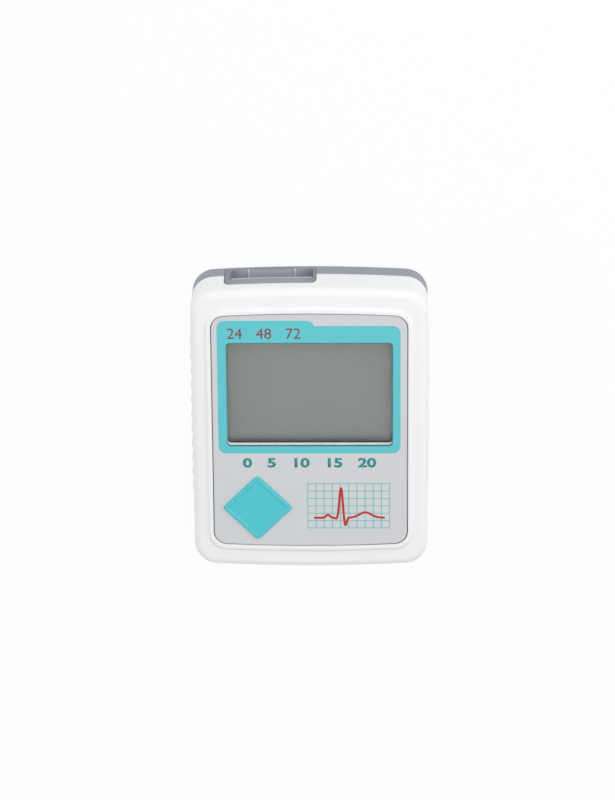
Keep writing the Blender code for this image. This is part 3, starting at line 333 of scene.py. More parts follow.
def outward(points: Array, centre: Array) -> Array:
    """The unit vectors from a centre to these points."""
    away = points - centre
    return away / np.linalg.norm(away, axis=1, keepdims=True)


@dataclass(frozen=True)
class Row:
    """A row of equal steps about a middle."""

    middle: float
    pitch: float
    count: int

    @property
    def first(self) -> float:
        """The first place."""
        return self.middle - self.pitch * (self.count - 1) / 2

    def places(self, across: Array) -> Array:
        """These offsets from every place, in order."""
        return (self.first + self.pitch * np.arange(self.count)[:, None] + across).ravel()

    def off(self, y: Array) -> Array:
        """How far each y lies from its nearest place."""
        nearest = np.clip(np.round((y - self.first) / self.pitch), 0, self.count - 1)
        return y - self.first - nearest * self.pitch


def edge_steps(edge: float, steps: int = 4) -> list[Pair]:
    """The inset and the drop of each loop over a rounded edge, from its side to its face.

    They follow a quarter circle, and one more loop just inside it keeps the face flat. An edge of
    zero has a single loop.

    Args:
        edge: The rounding's radius.
        steps: How many loops the quarter circle has.

    Returns:
        The insets and the drops, in pairs.
    """
    if not edge:
        return [(0.0, 0.0)]
    turn = np.linspace(0, math.pi / 2, steps)
    inset, drop = edge * (1 - np.cos(turn)), edge * (1 - np.sin(turn))
    return [*zip(inset.tolist(), drop.tolist()), (edge + EDGE_HOLD, 0.0)]


def level(points: Array, height: float | Array) -> Array:
    """Plan points with a height, as rows of x, y and z."""
    return np.column_stack([points, np.broadcast_to(height, len(points))])


def placed(name: str, data: bpy.types.ID) -> Object:
    """A new object in the scene.

    Args:
        name: What it is called.
        data: The mesh, text, lamp or camera that it shows.

    Returns:
        The object.
    """
    obj = bpy.data.objects.new(name, data)
    bpy.context.scene.collection.objects.link(obj)
    return obj


def spun(profile: Array | list[Pair], angle: Array) -> Array:
    """Carries a profile round an axis.

    Args:
        profile: Rows of a radius and a height.
        angle: The angles that each row is carried to.

    Returns:
        A grid of points, with a row for each row of the profile.
    """
    profile = np.asarray(profile, float)
    radius, height = profile[:, :1], np.broadcast_to(profile[:, 1:], (len(profile), len(angle)))
    return np.stack([radius * np.cos(angle), radius * np.sin(angle), height], -1)


class Solid:
    """Closed surfaces that become one mesh."""

    def __init__(self, name: str) -> None:
        """Starts an empty solid.

        Args:
            name: What its object is called.
        """
        self.name = name
        self.points: list[Array] = []
        self.quads: list[Array] = []
        self.triangles: list[Array] = []
        self.count = 0

    def loft(self, rows: list[Array] | Array, ring: bool = False) -> "Solid":
        """Adds a closed surface through loops of points.

        Each loop joins the next point by point. In a ring the last loop joins the first, and
        otherwise both end loops are closed with a fan about their middle. Points that meet are
        welded, and the faces are turned so that the enclosed volume is positive.

        Args:
            rows: The loops, each as rows of x, y and z.
            ring: Whether the surface closes on itself, as a tyre does.

        Returns:
            This solid.
        """
        grid = np.asarray(rows, float)
        if not ring:
            first = np.broadcast_to(grid[0].mean(0), grid[0].shape)
            last = np.broadcast_to(grid[-1].mean(0), grid[-1].shape)
            grid = np.concatenate([first[None], grid, last[None]])
        index = np.arange(grid.shape[0] * grid.shape[1]).reshape(grid.shape[:2])
        upper = np.roll(index, -1, 0)
        if not ring:
            index, upper = index[:-1], upper[:-1]
        quads = np.stack([index, np.roll(index, -1, 1), np.roll(upper, -1, 1), upper], -1)
        self._weld(grid.reshape(-1, 3), quads.reshape(-1, 4))
        return self

    def _weld(self, points: Array, quads: Array) -> None:
        """Welds the points of one closed surface, turns its faces outwards and keeps it.

        Args:
            points: The surface's points.
            quads: Its faces, as four indices each.
        """
        kept, inverse = np.unique(np.round(points, WELD_DIGITS), axis=0, return_inverse=True)
        quads = inverse.reshape(-1)[quads]
        repeat = quads == np.roll(quads, -1, 1)
        whole = quads[~repeat.any(1)]
        folded = repeat.sum(1) == 1
        threes = quads[folded][~repeat[folded]].reshape(-1, 3)
        fans = np.concatenate([whole[:, [0, 1, 2]], whole[:, [0, 2, 3]], threes])
        one, two, three = (kept[fans[:, corner]] for corner in range(3))
        if np.einsum("ij,ij->", one, np.cross(two, three)) < 0:
            whole, threes = whole[:, ::-1], threes[:, ::-1]
        self.points.append(kept)
        self.quads.append(whole + self.count)
        self.triangles.append(threes + self.count)
        self.count += len(kept)

    def sheet(self, bottom: Array, high: float) -> "Solid":
        """Adds a plate between a grid of points and a level face over it.

        Args:
            bottom: The grid.
            high: The height of the face.

        Returns:
            This solid.
        """
        top = bottom.copy()
        top[..., 2] = high
        return self.loft(np.concatenate([bottom, top[:, ::-1]], axis=1))

    def block(self, low: Triple, high: Triple, edge: float) -> "Solid":
        """Adds a box with rounded edges.

        Its loops are rounded rectangles whose size follows a quarter circle at the top and the
        bottom.

        Args:
            low: Its lowest corner.
            high: Its highest corner.
            edge: The rounding of its edges.

        Returns:
            This solid.
        """
        turn = np.linspace(0, math.pi / 2, 4)
        inset = edge * (1 - np.sin(turn))
        lift = edge * (1 - np.cos(turn))
        rows = []
        for shrink, z in [*zip(inset, low[2] + lift), *zip(inset[::-1], high[2] - lift[::-1])]:
            near, far = (low[0] + shrink, low[1] + shrink), (high[0] - shrink, high[1] - shrink)
            rows.append(level(rounded_box(near, far, edge * CORNER_SLACK - shrink, 3), z))
        return self.loft(rows)

    def plate(self, outer: Array, inner: Array, heights: Pair, centre: Array | None = None) -> "Solid":
        """Adds a flat plate with a hole, whose points lie on rays from the hole's middle.

        Args:
            outer: The plate's outline.
            inner: The hole's outline.
            heights: Its lower and upper face.
            centre: The point that the rays leave, where it isn't the hole's middle.

        Returns:
            This solid.
        """
        far, near = paired(outer, inner, inner.mean(0) if centre is None else centre)
        low, high = heights
        return self.loft([level(far, low), level(far, high), level(near, high), level(near, low)], ring=True)

    def turned(self, profile: Array | list[Pair], centre: Triple, sides: int, lying: bool = False) -> "Solid":
        """Adds a surface turned from a profile about an upright axis, or one along X.

        Args:
            profile: Rows of a radius and a place along the axis.
            centre: The point that the axis passes through.
            sides: How many points each turn has.
            lying: Whether the axis lies along X.

        Returns:
            This solid.
        """
        ring = spun(profile, turns(sides))
        return self.loft((ring[..., [2, 0, 1]] if lying else ring) + np.array(centre))

    def tube(self, route: Array, radius: float, sides: int = 10) -> "Solid":
        """Adds a round wire along a route, from frames carried along its chords.

        Args:
            route: The points that it follows.
            radius: The wire's radius.
            sides: How many points go round it.

        Returns:
            This solid.
        """
        ahead = np.gradient(route, axis=0)
        ahead = ahead / np.linalg.norm(ahead, axis=1, keepdims=True)
        side = np.cross(ahead, np.broadcast_to([1.0, 0.2, 0.1], route.shape))
        side = side / np.linalg.norm(side, axis=1, keepdims=True)
        over = np.cross(ahead, side)
        angle = turns(sides)[None, :, None]
        ring = np.cos(angle) * side[:, None] + np.sin(angle) * over[:, None]
        return self.loft(route[:, None] + radius * ring)

    def build(self, material: Material, slot: Slot, *nodes: str, body: Body = Body.CASE) -> Object:
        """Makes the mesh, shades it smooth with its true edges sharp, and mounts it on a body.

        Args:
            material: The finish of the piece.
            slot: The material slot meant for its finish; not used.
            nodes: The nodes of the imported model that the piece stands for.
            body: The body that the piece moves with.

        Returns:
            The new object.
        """
        mesh = bpy.data.meshes.new(self.name)
        points = np.concatenate(self.points) * MM
        faces = [quad for part in self.quads + self.triangles for quad in part.tolist()]
        mesh.from_pydata(points, [], faces)
        mesh.validate()
        mesh.shade_smooth()
        mesh.set_sharp_from_angle(angle=SHARP_ANGLE)
        mesh.materials.append(material)
        obj = placed(self.name, mesh)
        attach(obj, body.value)
        if nodes:
            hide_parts(*nodes)
        LOG.info("%s: %d points, %d faces", self.name, len(points), len(faces))
        return obj


# Finishes


def linear(colour: Colour) -> Light:
    """A screen colour as linear light, with full cover, by the usual curve for screens.

    Args:
        colour: The colour, from 0 to 255.

    Returns:
        The light, from 0 to 1.
    """
    share = np.array(colour) / 255
    light = np.where(share <= 0.04045, share / 12.92, ((share + 0.055) / 1.055) ** 2.4)
    return (*light.tolist(), 1.0)


class NodeBoard:
    """The node tree of a material or a world, with short ways to add and join its nodes."""

    def __init__(self, name: str, world: bool = False) -> None:
        """Makes the material or the world, with its shader and an object position node.

        Args:
            name: What it is called.
            world: Whether it is a world.
        """
        self.owner = bpy.data.worlds.new(name) if world else bpy.data.materials.new(name)
        self.owner.use_nodes = True
        self.tree = self.owner.node_tree
        self.shader = self.tree.nodes["Background" if world else "Principled BSDF"]
        self.output = self.tree.nodes["World Output" if world else "Material Output"]
        self.position = self.tree.nodes.new("ShaderNodeTexCoord").outputs["Object"]

    def add(self, kind: str, settings: dict | None = None, **inputs: object) -> bpy.types.Node:
        """Adds a node.

        Args:
            kind: The node's type, without its common prefix.
            settings: Its properties by name.
            inputs: Its inputs by name, with underscores for spaces: a socket to join, or a value.

        Returns:
            The node.
        """
        node = self.tree.nodes.new("ShaderNode" + kind)
        for key, value in (settings or {}).items():
            setattr(node, key, value)
        self.feed(node, **inputs)
        return node

    def feed(self, node: bpy.types.Node, **inputs: object) -> None:
        """Joins sockets to a node's inputs, or sets those inputs.

        Args:
            node: The node.
            inputs: Its inputs as in add, or by number, as i0 or i1.
        """
        for key, value in inputs.items():
            numbered = key[0] == "i" and key[1:].isdigit()
            socket = node.inputs[int(key[1:]) if numbered else key.replace("_", " ")]
            if isinstance(value, Link):
                self.tree.links.new(value, socket)
            else:
                socket.default_value = value

    def shade(self, **inputs: object) -> None:
        """Joins sockets to the shader's own inputs, or sets those inputs."""
        self.feed(self.shader, **inputs)

    def math(self, operation: str, first: object, second: object, third: object = 0.0) -> Link:
        """The result of a Math node."""
        return self.add("Math", {"operation": operation}, i0=first, i1=second, i2=third).outputs[0]

    def vector(self, operation: str, **inputs: object) -> Link:
        """The vector from a Vector Math node."""
        return self.add("VectorMath", {"operation": operation}, **inputs).outputs["Vector"]

    def noise(self, size: float, detail: float = 3.0, vector: Link | None = None) -> Link:
        """A noise, from 0 to 1.

        Args:
            size: About how wide its grains are.
            detail: How many finer layers it has.
            vector: Where it is read, or the object position.

        Returns:
            The noise.
        """
        place = self.position if vector is None else vector
        node = self.add("TexNoise", Vector=place, Scale=1 / (size * MM), Detail=detail, Roughness=0.55)
        return node.outputs["Fac"]

    def span(self, value: Link, low: float, high: float, start: float = 0.0, end: float = 1.0) -> Link:
        """A value carried from the range between start and end to that between low and high."""
        node = self.add("MapRange", Value=value, From_Min=start, From_Max=end, To_Min=low, To_Max=high)
        return node.outputs["Result"]

    def mix(self, share: Link, first: object, second: object) -> Link:
        """A mix of two colours."""
        return self.add("Mix", {"data_type": "RGBA"}, i0=share, i6=first, i7=second).outputs[2]

    def stretched(self, scale: Triple) -> Link:
        """The object position with its axes scaled."""
        return self.add("Mapping", Vector=self.position, Scale=scale).outputs["Vector"]

    def bump(self, height: Link, distance: float, strength: float = 1.0) -> None:
        """Gives the shader a bump of this many millimetres."""
        node = self.add("Bump", Height=height, Distance=distance * MM, Strength=strength)
        self.shade(Normal=node.outputs["Normal"])


@dataclass(frozen=True)
class PaintedTone:
    """Painted shade or painted light: a second colour that fades in away from a place, or towards it where
    full is the smaller.
    """

    colour: Colour
    middle: Triple
    axes: Triple
    start: float
    full: float

    def share(self, board: NodeBoard) -> Link:
        """How much of the painted tone shows: 0 at the start's distance and 1 at the full one's.

        The distance counts only along the axes whose factor isn't zero.

        Args:
            board: The node tree that the stain is added to.

        Returns:
            The share.
        """
        away = board.vector("SUBTRACT", i0=board.position, i1=tuple(MM * value for value in self.middle))
        along = board.vector("MULTIPLY", i0=away, i1=self.axes)
        length = board.add("VectorMath", {"operation": "LENGTH"}, i0=along).outputs["Value"]
        share = board.span(length, 0.0, 1.0, self.start * MM, self.full * MM)
        return board.math("MULTIPLY", share, share)


@dataclass(frozen=True)
class Moulded:
    """A moulded, printed or plated finish with a fine grain and slightly uneven colour."""

    name: str
    colour: Colour
    roughness: float = 0.45
    metallic: float = 0.0
    grain: float = 0.25
    depth: float = 0.004
    unevenness: float = 0.03
    patch: float = 9.0
    stretch: Triple = (1.0, 1.0, 1.0)
    painted_tones: tuple[PaintedTone, ...] = ()
    fine_share: float = 0.35
    spread: float = 0.12

    def material(self) -> Material:
        """The finish as a material.

        The colour is darkened by a broad noise and by a fine one, the roughness follows the fine
        noise, and the same noise raises the surface by the grain's depth. The painted tones, which
        are painted shade and painted light, are laid over the colour in their order.

        Returns:
            The material.
        """
        board = NodeBoard(self.name)
        place = board.stretched(self.stretch)
        fine = board.noise(self.grain, 4.0, place)
        broad = board.noise(self.patch, 2.0)
        rest = board.math("MULTIPLY", broad, 1 - self.fine_share)
        both = board.math("MULTIPLY_ADD", fine, self.fine_share, rest)
        bright = linear(self.colour)
        dark = tuple(channel * (1 - 2 * self.unevenness) for channel in bright[:3]) + (1.0,)
        light = tuple(min(channel * (1 + self.unevenness), 1.0) for channel in bright[:3]) + (1.0,)
        colour = board.mix(board.span(both, 0, 1, *PATCH_RANGE), dark, light)
        # Each tone is painted shade or painted light laid over the colour.
        for tone_layer in self.painted_tones:
            colour = board.mix(tone_layer.share(board), colour, linear(tone_layer.colour))
        smooth, rough = self.roughness * (1 - self.spread), min(self.roughness * (1 + self.spread), 1.0)
        gloss = board.span(fine, smooth, rough, *GRAIN_RANGE)
        board.shade(Base_Color=colour, Roughness=gloss, Metallic=self.metallic)
        board.bump(fine, self.depth)
        return board.owner


@dataclass(frozen=True)
class ClearPlate:
    """A clear polished plate with the faintest waviness."""

    name: str = "clear_acrylic"
    index: float = 1.49
    roughness: float = 0.02
    tint: Light = (0.985, 0.99, 0.988, 1.0)
    wave: float = 14.0
    depth: float = 0.004

    def material(self) -> Material:
        """The finish as a material: full transmission, with a broad shallow bump.

        Returns:
            The material.
        """
        board = NodeBoard(self.name)
        board.shade(Base_Color=self.tint, Roughness=self.roughness, IOR=self.index, Transmission_Weight=1.0)
        board.bump(board.noise(self.wave, 1.0), self.depth)
        return board.owner


@dataclass(frozen=True)
class DisplayGlass:
    """A reflective display cell with nothing shown: grey-green, with painted shade along its lower border and
    painted light along its side borders.
    """

    low: Pair
    high: Pair
    name: str = "reflective_display"
    colour: Colour = (157, 164, 159)
    # Painted shade along the lower border.
    shade: Colour = (104, 104, 99)
    # Painted light: a lighter colour close to the side borders, against the shade of the window's walls.
    rim: Colour = (173, 176, 173)
    shade_width: float = 3.0
    side_light_width: float = 1.5
    side_light_fall: float = 0.6
    sparkle: float = 0.09
    twinkle: float = 0.035
    gloss: Pair = (0.3, 0.45)
    depth: float = 0.002

    def material(self) -> Material:
        """The finish as a material.

        The colour falls softly to the shade's over a band inside the lower border, which is painted
        shade, and turns to the lighter rim colour close to the side borders, which is painted light.
        A fine noise gives the reflector's sparkle.

        Returns:
            The material.
        """
        board = NodeBoard(self.name)
        axes = board.add("SeparateXYZ", Vector=board.position).outputs
        left = board.math("SUBTRACT", axes[0], self.low[0] * MM)
        right = board.math("SUBTRACT", self.high[0] * MM, axes[0])
        near = board.span(board.math("MINIMUM", left, right), 0.0, 1.0, 0.0, self.side_light_width * MM)
        lower = board.math("SUBTRACT", axes[1], self.low[1] * MM)
        rise = board.span(lower, 0.0, 1.0, 0.0, self.shade_width * MM)
        colour = board.mix(board.math("POWER", near, self.side_light_fall), linear(self.rim), linear(self.colour))
        colour = board.mix(rise, linear(self.shade), colour)
        sparkle = board.noise(self.sparkle, 2.0)
        tone = board.span(sparkle, 1 - self.twinkle, 1 + self.twinkle, *GRAIN_RANGE)
        colour = board.vector("SCALE", i0=colour, Scale=tone)
        board.shade(Base_Color=colour, Roughness=board.span(sparkle, *self.gloss, *GRAIN_RANGE))
        board.bump(sparkle, self.depth)
        return board.owner


@dataclass(frozen=True)
class SolderMask:
    """A green board with darker ways between copper tracks and small bright pads."""

    name: str = "green_board"
    green: Colour = (28, 92, 60)
    track: Colour = (44, 120, 78)
    pad: Colour = (196, 186, 150)
    pitch: float = 1.9
    shuffle: float = 0.35
    track_edge: Pair = (0.05, 0.08)
    pad_edge: Pair = (0.12, 0.15)
    gloss: Pair = (0.3, 0.45)
    grain: float = 0.4
    depth: float = 0.03

    def material(self) -> Material:
        """The finish as a material: cells with tracks along their edges, and a pad in each middle.

        Returns:
            The material.
        """
        board = NodeBoard(self.name)
        flat = board.vector("MULTIPLY", i0=board.position, i1=(1.0, 1.0, 0.0))
        cell = {"Vector": flat, "Scale": 1 / (self.pitch * MM), "Randomness": self.shuffle}
        edges = board.add("TexVoronoi", {"feature": "DISTANCE_TO_EDGE"}, **cell).outputs["Distance"]
        middles = board.add("TexVoronoi", {"feature": "F1"}, **cell).outputs["Distance"]
        track = board.span(edges, 1.0, 0.0, *self.track_edge)
        pad = board.span(middles, 1.0, 0.0, *self.pad_edge)
        colour = board.mix(track, linear(self.green), linear(self.track))
        colour = board.mix(pad, colour, linear(self.pad))
        board.shade(Base_Color=colour, Roughness=board.span(board.noise(self.grain), *self.gloss))
        board.bump(board.math("MAXIMUM", track, pad), self.depth)
        return board.owner


@dataclass(frozen=True)
class CellWrap:
    """A battery's shrunk wrap: dark blue, with a copper band towards its nub."""

    name: str
    nub_x: float
    sign: int
    body: Colour = (44, 58, 84)
    band: Colour = (186, 122, 70)
    metal: Colour = (198, 199, 202)
    band_length: float = 11.0
    bare: float = 1.0
    bare_base: float = 0.55
    band_shine: float = 0.6
    scuff: Pair = (0.9, 1.06)
    scuff_size: float = 0.9
    scuff_stretch: Triple = (0.15, 1.0, 1.0)
    gloss: Pair = (0.22, 0.34)
    grain: float = 0.5
    wave: float = 1.2
    depth: float = 0.01
    length: float = 44.5

    def material(self) -> Material:
        """The finish as a material, from the distance to the nub's end along X.

        Returns:
            The material.
        """
        board = NodeBoard(self.name)
        x = board.add("SeparateXYZ", Vector=board.position).outputs[0]
        along = board.math("MULTIPLY", board.math("SUBTRACT", x, self.nub_x * MM), -self.sign / MM)
        in_band = board.math("LESS_THAN", along, self.band_length)
        colour = board.mix(in_band, linear(self.body), linear(self.band))
        base = board.math("GREATER_THAN", along, self.length - self.bare_base)
        ends = board.math("MAXIMUM", board.math("LESS_THAN", along, self.bare), base)
        colour = board.mix(ends, colour, linear(self.metal))
        scuffs = board.noise(self.scuff_size, 5.0, board.stretched(self.scuff_stretch))
        colour = board.vector("SCALE", i0=colour, Scale=board.span(scuffs, *self.scuff, *GRAIN_RANGE))
        shine = board.math("MAXIMUM", ends, board.math("MULTIPLY", in_band, self.band_shine))
        gloss = board.span(board.noise(self.grain), *self.gloss)
        board.shade(Base_Color=colour, Metallic=shine, Roughness=gloss)
        board.bump(board.noise(self.wave), self.depth)
        return board.owner


def printed(name: str, colour: Colour, roughness: float = 0.42, unevenness: float = 0.03) -> Material:
    """A finish of printed ink, with the finest grain."""
    return Moulded(name, colour, roughness, grain=0.14, depth=0.001, unevenness=unevenness).material()


@dataclass(frozen=True)
class Finishes:
    """Every finish of the recorder, made once."""

    white: Material
    grey: Material
    socket: Material
    lit_lining: Material
    rib: Material
    sill: Material
    overlay: Material
    lens: Material
    teal_key: Material
    teal_ink: Material
    edge_ink: Material
    grid_ink: Material
    trace_ink: Material
    number_ink: Material
    scale_ink: Material
    black: Material
    gap_shadow: Material
    board: Material
    rubber: Material
    steel: Material
    gold: Material

    @classmethod
    def make(cls) -> "Finishes":
        """Makes every finish.

        Returns:
            The finishes.
        """
        beside = (1.0, 0.0, 0.0)
        # Painted shade: the socket's grey darkens towards both ends of its mouth, where its corners lie in
        # shade.
        socket_end_shade = (PaintedTone((114, 117, 125), (-11.5, 0.0, 0.0), beside, 7.5, 14.5),)
        # Painted shade: the pale lining darkens towards both ends of the mouth.
        lining_end_shade = (PaintedTone((150, 152, 162), (-11.2, 0.0, 0.0), beside, 5.5, 11.0),)
        # Painted shadow in the label's gap: lighter everywhere but the lower right corner, and lighter still
        # along the right and lower sides, where the gap is lit.
        gap_shadow_tones = (
            PaintedTone((84, 78, 75), (27.6, -35.8, 0.0), (1.0, 1.0, 0.0), 2.5, 8.0),
            PaintedTone((124, 118, 114), (28.5, 6.0, 0.0), (1.0, 0.15, 0.0), 6.5, 3.0),
            PaintedTone((160, 154, 150), (-5.0, -36.9, 0.0), (0.14, 1.0, 0.0), 4.3, 2.0),
        )
        moulded = dict(
            white=Moulded("white_moulding", (240, 240, 241), 0.42, depth=0.003, unevenness=0.008),
            grey=Moulded("grey_moulding", (143, 149, 161), 0.5, depth=0.005, unevenness=0.02),
            socket=Moulded(
                "socket_moulding_end_shade", (146, 149, 159), 0.5, depth=0.005, unevenness=0.02, painted_tones=socket_end_shade
            ),
            # Painted light: the mouth's lining is a paler grey than the housing, standing in for light that
            # reaches into the mouth.
            lit_lining=Moulded(
                "lit_grey_lining", (192, 193, 203), 0.5, depth=0.004, unevenness=0.02, painted_tones=lining_end_shade
            ),
            # Painted highlight: the keying ribs are much lighter than the housing's grey.
            rib=Moulded("rib_painted_highlight", (214, 214, 222), 0.5, depth=0.003, unevenness=0.01),
            # Painted highlight: the sill over the mouth is lighter than the housing's grey.
            sill=Moulded("sill_painted_highlight", (184, 186, 198), 0.5, depth=0.003, unevenness=0.01),
            overlay=Moulded("overlay_film", (207, 209, 212), 0.38, grain=0.16, depth=0.002, unevenness=0.012),
            teal_key=Moulded("teal_key", (79, 199, 209), 0.24, grain=0.2, depth=0.002, unevenness=0.015),
            black=Moulded("black_moulding", (36, 36, 39), 0.5, grain=0.3, depth=0.006),
            # Painted shadow: the dark bead in the gap round the label.
            gap_shadow=Moulded("label_gap_shadow", (34, 32, 36), 0.7, depth=0.004, painted_tones=gap_shadow_tones),
            rubber=Moulded("grey_rubber", (112, 114, 118), 0.8, grain=0.4, depth=0.01),
            steel=Moulded(
                "plated_steel", (196, 197, 200), 0.26, 1.0, grain=0.2, depth=0.003, stretch=(0.08, 1.0, 1.0)
            ),
            gold=Moulded("gold_plating", (222, 186, 110), 0.24, 1.0, grain=0.3, depth=0.002),
        )
        return cls(
            lens=ClearPlate().material(),
            teal_ink=printed("teal_ink", (92, 197, 206), 0.4, 0.015),
            # Painted shade: the dark teal band round the label's opening.
            edge_ink=printed("teal_edge_shade", (62, 118, 122), 0.5),
            grid_ink=printed("grid_ink", (104, 188, 186)),
            trace_ink=printed("trace_ink", (190, 44, 34)),
            number_ink=printed("number_ink", (134, 44, 52)),
            scale_ink=printed("scale_ink", (24, 142, 146)),
            board=SolderMask().material(),
            **{name: finish.material() for name, finish in moulded.items()},
        )


# Sub-assemblies


@dataclass(frozen=True)
class CasePlan:
    """The plan and the main heights that the case's pieces share."""

    outline: Outline = Outline(34.8, 44.5, 6.8, 500.0)
    label: Outline = Outline(28.7, 36.87, 3.8, 492.37)
    wall: float = 2.0
    back_wall: float = 1.8
    rounding: float = 2.5
    back_rounding: float = 1.2
    seam: float = 7.4
    lap: float = 0.9
    lap_top: float = 9.0
    lap_gap: float = 0.3
    face_inside: float = 19.0
    recess: float = 20.4
    label_low: float = 20.7
    label_face: float = 21.1
    rim_top: float = 20.7
    lip_top: float = 21.5
    window_middle: Pair = (0.0, 11.57)
    window_half: Pair = (24.3, 16.2)
    window_corner: float = 1.0
    key_middle: Pair = (-15.75, -24.57)
    key_side: float = 14.8
    key_corner: float = 1.0
    split_y: float = -9.6
    socket: Pair = (-25.1, 2.05)
    socket_top: float = 15.2
    socket_corner: float = 1.4
    socket_corner_rise: float = 2.8
    door_half: float = 24.7
    rail_half: float = 26.2
    door_end: float = -14.95
    rail_end: float = -13.45
    door_room: float = 2.1
    screw: Pair = (29.1, 37.5)
    seam_gap: float = 0.05
    seam_edge: float = 0.15
    notch_gap: float = 0.03

    def window(self, grown: float = 0.0) -> Array:
        """The display window's outline.

        Args:
            grown: How far outside the window it runs.

        Returns:
            The points.
        """
        (x, y), (a, b) = self.window_middle, self.window_half
        low, high = (x - a - grown, y - b - grown), (x + a + grown, y + b + grown)
        return rounded_box(low, high, self.window_corner + grown)

    def key(self, grown: float = 0.0, corner: float | None = None) -> Array:
        """The diamond key's outline: a rounded square turned by an eighth of a full turn.

        Args:
            grown: How far outside the key it runs.
            corner: The radius of its corners, where it doesn't follow the distance.

        Returns:
            The points.
        """
        half = self.key_side / 2 + grown
        radius = self.key_corner + grown if corner is None else corner
        square = rounded_box((-half, -half), (half, half), radius)
        turn = math.sqrt(0.5) * np.array([[1, 1], [-1, 1]])
        return square @ turn + self.key_middle

    def edge_off(self, away: Array) -> Array:
        """How high the rounded lower edge lies at each distance in from the outline.

        Its quarter circle is the same from both sides, so this is also how far in from the
        outline the edge lies at each height.

        Args:
            away: The distances in, or the heights.

        Returns:
            The heights, or the distances in.
        """
        radius = self.back_rounding
        short = np.clip(radius - np.asarray(away, float), 0, radius)
        return radius - np.sqrt(radius**2 - short**2)

    def edge_grid(self, x: Array, inset: Array, rows: Array) -> Array:
        """A grid of points that follows the rounded lower edge at the lower end, and then the back.

        Args:
            x: The grid's columns.
            inset: How far in from the outline each row on the edge lies.
            rows: The y of the rows on the back.

        Returns:
            The points, as rows of x, y and z.
        """
        near = inset[:, None] - self.outline.end_y(x)
        y = np.concatenate([near, np.repeat(rows[:, None], len(x), 1)])
        z = np.concatenate([self.edge_off(inset), np.zeros(len(rows))])
        return np.stack(np.broadcast_arrays(x, y, z[:, None]), -1)

    def end_shares(self, places: Array) -> Array:
        """The shares of half an end's arc at which the outline passes these x."""
        return np.arcsin(np.asarray(places) / self.outline.bow) / self.outline.tilt

    def bow_width(self) -> float:
        """The x at which an end's arc meets its corners."""
        return self.outline.bow * math.sin(self.outline.tilt)

    @property
    def notch(self) -> Pair:
        """The ends of the shells' notch over the socket, along X."""
        return self.socket[0] - self.notch_gap, self.socket[1] + self.notch_gap

    def top_columns(self, side: Array, inside: Array) -> tuple[Array, slice]:
        """The shares of the upper end's columns, with some at these x over the socket.

        Args:
            side: The shares of a side's columns.
            inside: The x of the columns over the socket, from right to left.

        Returns:
            The shares, and the slice of a loop's points that lies over the socket.
        """
        low, high = self.notch
        right = np.linspace(self.bow_width(), high, 16)[1:]
        left = np.linspace(low, -self.bow_width(), 5)[:-1]
        start = len(side) + len(CORNER_SHARES) + len(right)
        return self.end_shares(np.concatenate([right, inside, left])), slice(start, start + len(inside))


def split_plates(
    solid: Solid, plan: CasePlan, outline: Outline, heights: Pair, gaps: Pair, edge: float
) -> None:
    """Adds the two halves of a face plate, one round the window and one round the key.

    The plate is parted on a level line between the two holes. Each half is drawn on rays from the
    middle of its own hole, and the halves meet face to face.

    Args:
        solid: What the plates are added to.
        plan: The case's plan.
        outline: The plate's outline.
        heights: The plate's lower and upper face.
        gaps: The room round the window and round the key.
        edge: The rounding of the upper edges.
    """
    columns = Columns(between(-1, 1, 10), np.linspace(0, 1, 9), between(1, -1, 13), between(-1, 1, 13))
    border = columns.place(outline)
    low, high = heights
    for hole, bound in ((plan.window(gaps[0]), np.maximum), (plan.key(gaps[1]), np.minimum)):
        centre = hole.mean(0)
        part = np.column_stack([border[:, 0], bound(border[:, 1], plan.split_y)])
        far, near = paired(part, hole, centre)
        on_split = np.abs(far[:, 1] - plan.split_y) < ON_LINE
        toward = -outward(far, centre)
        toward[on_split, 1] = 0.0
        inner = on_split & (np.abs(far[:, 0]) < outline.half_width - SIDE_MARGIN)
        rows = [level(far, low)]
        for inset, drop in edge_steps(edge):
            step = np.where(inner, 0.0, inset)[:, None]
            rows.append(level(far + toward * step, high - np.where(inner, 0.0, drop)))
        away = outward(near, centre)
        rows += [level(near + away * inset, high - drop) for inset, drop in edge_steps(edge)[::-1]]
        solid.loft([*rows, level(near, low)], ring=True)


@dataclass(frozen=True)
class Post:
    """A moulded post with a blind bore for a screw."""

    radius: float
    bore: float
    bore_end: float
    open_end: float
    root: float

    def add(self, solid: Solid, across: float, rows: Pair) -> None:
        """Adds a post at each side and row: a wall turned about the bore's axis.

        Args:
            solid: What the posts are added to.
            across: How far to the right and to the left of the middle they stand.
            rows: The y of the two rows.
        """
        inside = [(self.bore, self.bore_end), (self.bore, self.open_end)]
        outside = [(self.radius, self.open_end), (self.radius, self.root)]
        for x in (-across, across):
            for y in rows:
                solid.turned(inside + outside, (x, y, 0.0), 32)


@dataclass
class Piece:
    """A sub-assembly, which takes the case's plan and the finishes."""

    plan: CasePlan
    finishes: Finishes


